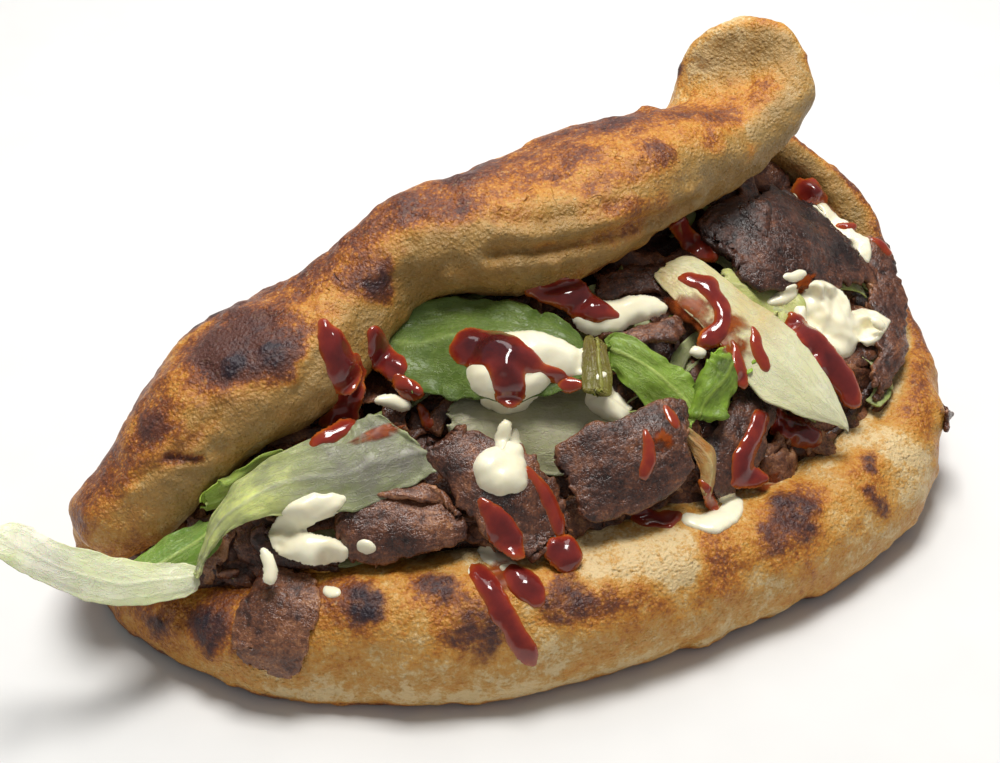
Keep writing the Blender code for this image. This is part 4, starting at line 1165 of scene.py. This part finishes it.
def film(graph, node, right, above, long, wide, turn, seed):
    """A thin film on whatever shows by a CAD node."""
    spot = (middle_of(node) + np.array([right, above, 0]) * MM) @ VIEW
    spot = spot + OUTWARD * (ground(graph, spot, 5 * REST, 5 * REST) or 0)
    c, s = math.cos(math.radians(turn)), math.sin(math.radians(turn))
    u, v = ACROSS * c + UPWARD * s, UPWARD * c - ACROSS * s
    rings, spokes = 11, 48
    r = np.linspace(0, 1, rings)[:, None]
    angle = np.linspace(0, 2 * math.pi, spokes, endpoint=False)[None]
    circle = np.stack([np.cos(angle[0]), np.sin(angle[0]), np.zeros(spokes)], -1)
    reach = 1 + 0.4 * noise(circle, 0.9, seed) + 0.3 * noise(circle, 0.3, seed + 1)
    flat = u * (np.cos(angle) * r * reach * long * MM)[..., None]
    flat = flat + v * (np.sin(angle) * r * reach * wide * MM)[..., None]
    level = np.zeros((rings, spokes))
    for i, j in np.ndindex(*level.shape):
        gap = ground(graph, spot + flat[i, j], FILM_SLOPE, FILM_SLOPE)
        level[i, j] = -FILM_SLOPE if gap is None else gap
    level = np.clip(level, np.median(level) - 2 * MM, np.median(level) + 2 * MM)
    dome = FILM_DEPTH * MM * np.clip(1 - r**2, 0, 1) * np.ones((rings, spokes))
    base = spot + flat + OUTWARD * level[..., None]
    top, low = base + OUTWARD * (dome + 0.1 * MM)[..., None], base - OUTWARD * 0.3 * MM
    index = np.arange(rings * spokes).reshape(rings, spokes)
    a, b = index[:-1], index[1:]
    faces = np.stack([a, b, np.roll(b, -1, 1), np.roll(a, -1, 1)], -1).reshape(-1, 4)
    n = rings * spokes
    border = np.stack([index[-1], index[-1] + n, np.roll(index[-1], -1) + n, np.roll(index[-1], -1)], -1)
    points = np.concatenate([top.reshape(-1, 3), low.reshape(-1, 3)])
    fields = {"depth": np.tile(dome.ravel() / MM, 2)}
    return points, np.concatenate([faces, faces[:, ::-1] + n, border]), fields


def sauces():
    graph = bpy.context.evaluated_depsgraph_get()
    parts = [film(graph, *row, seed=700 + 7 * i) for i, row in enumerate(FILMS)]
    for kind in LIQUIDS:
        nodes = [n["node"] for n in frame["record"]["subparts"] if n["material_slot"] == kind]
        for number, node in enumerate(nodes):
            drip(graph, node + "_drip", kind, solid_flow(node), 500 + 10 * number, node)
        for number, (of, *row) in enumerate(DABS):
            if of == kind:
                flows = dab_flow(*row, seed=900 + number)
                drip(graph, f"{kind}_{number}_drip", kind, flows, 800 + 10 * number)
        graph = bpy.context.evaluated_depsgraph_get()
    place(joined("sauce_film", parts), "sauce", film_material())


def sauce_material():
    m = Nodes("dark_sauce", Roughness=0.1, Specular_IOR_Level=0.5, Subsurface_Weight=0.2,
              Subsurface_Scale=1.2 * MM, Subsurface_Radius=(1.0, 0.25, 0.12), Coat_Weight=0.25,
              Coat_Roughness=0.04)
    depth = m.total(m.attribute("depth"), m.around(m.noise(2 * MM, 3), 0.3))
    m.link(m.ramp(m.times(depth, 0.36), {
        0.0: (172, 88, 30), 0.1: (156, 64, 28), 0.28: (140, 46, 32), 0.5: (116, 35, 31), 1.0: (68, 22, 26),
    }), "Base Color")
    m.bump((m.noise(1.5 * MM, 3), 0.15 * MM, 0.25))
    return m.material


def film_material():
    m = Nodes("sauce_film", Roughness=0.35, Specular_IOR_Level=0.15)
    m.link(m.ramp(m.noise(2 * MM, 3), {0.35: (158, 76, 22), 0.65: (118, 46, 18)}), "Base Color")
    thick = m.spread(m.attribute("depth"), 0.0, FILM_DEPTH * 0.6, 0.0, 0.85)
    m.link(m.times(thick, m.spread(m.noise(3 * MM, 3), 0.32, 0.52)), "Alpha")
    m.bump((m.noise(1.5 * MM, 3), 0.15 * MM, 0.3))
    return m.material


def mayo_material():
    m = Nodes("mayonnaise", Roughness=0.22, Specular_IOR_Level=0.45, Subsurface_Weight=0.3,
              Subsurface_Scale=1.5 * MM, Subsurface_Radius=(1.0, 0.8, 0.5))
    m.link(m.ramp(m.noise(4 * MM, 3), {0.35: (246, 238, 206), 0.7: (250, 244, 218)}), "Base Color")
    m.bump((m.noise(1.6 * MM, 3), 0.2 * MM, 0.3))
    return m.material


# ---- finish

studio()
SAUCE, MAYO, MEAT = sauce_material(), mayo_material(), meat_material()
bread()
heap()
for number, row in enumerate(LEAVES):
    leaf(*row, seed=100 + 10 * number)
for number, row in enumerate(MEATS):
    meat(*row, seed=300 + 10 * number)
sauces()

[[list(corner) for corner in box] for box in (CAD_BOX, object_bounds())]
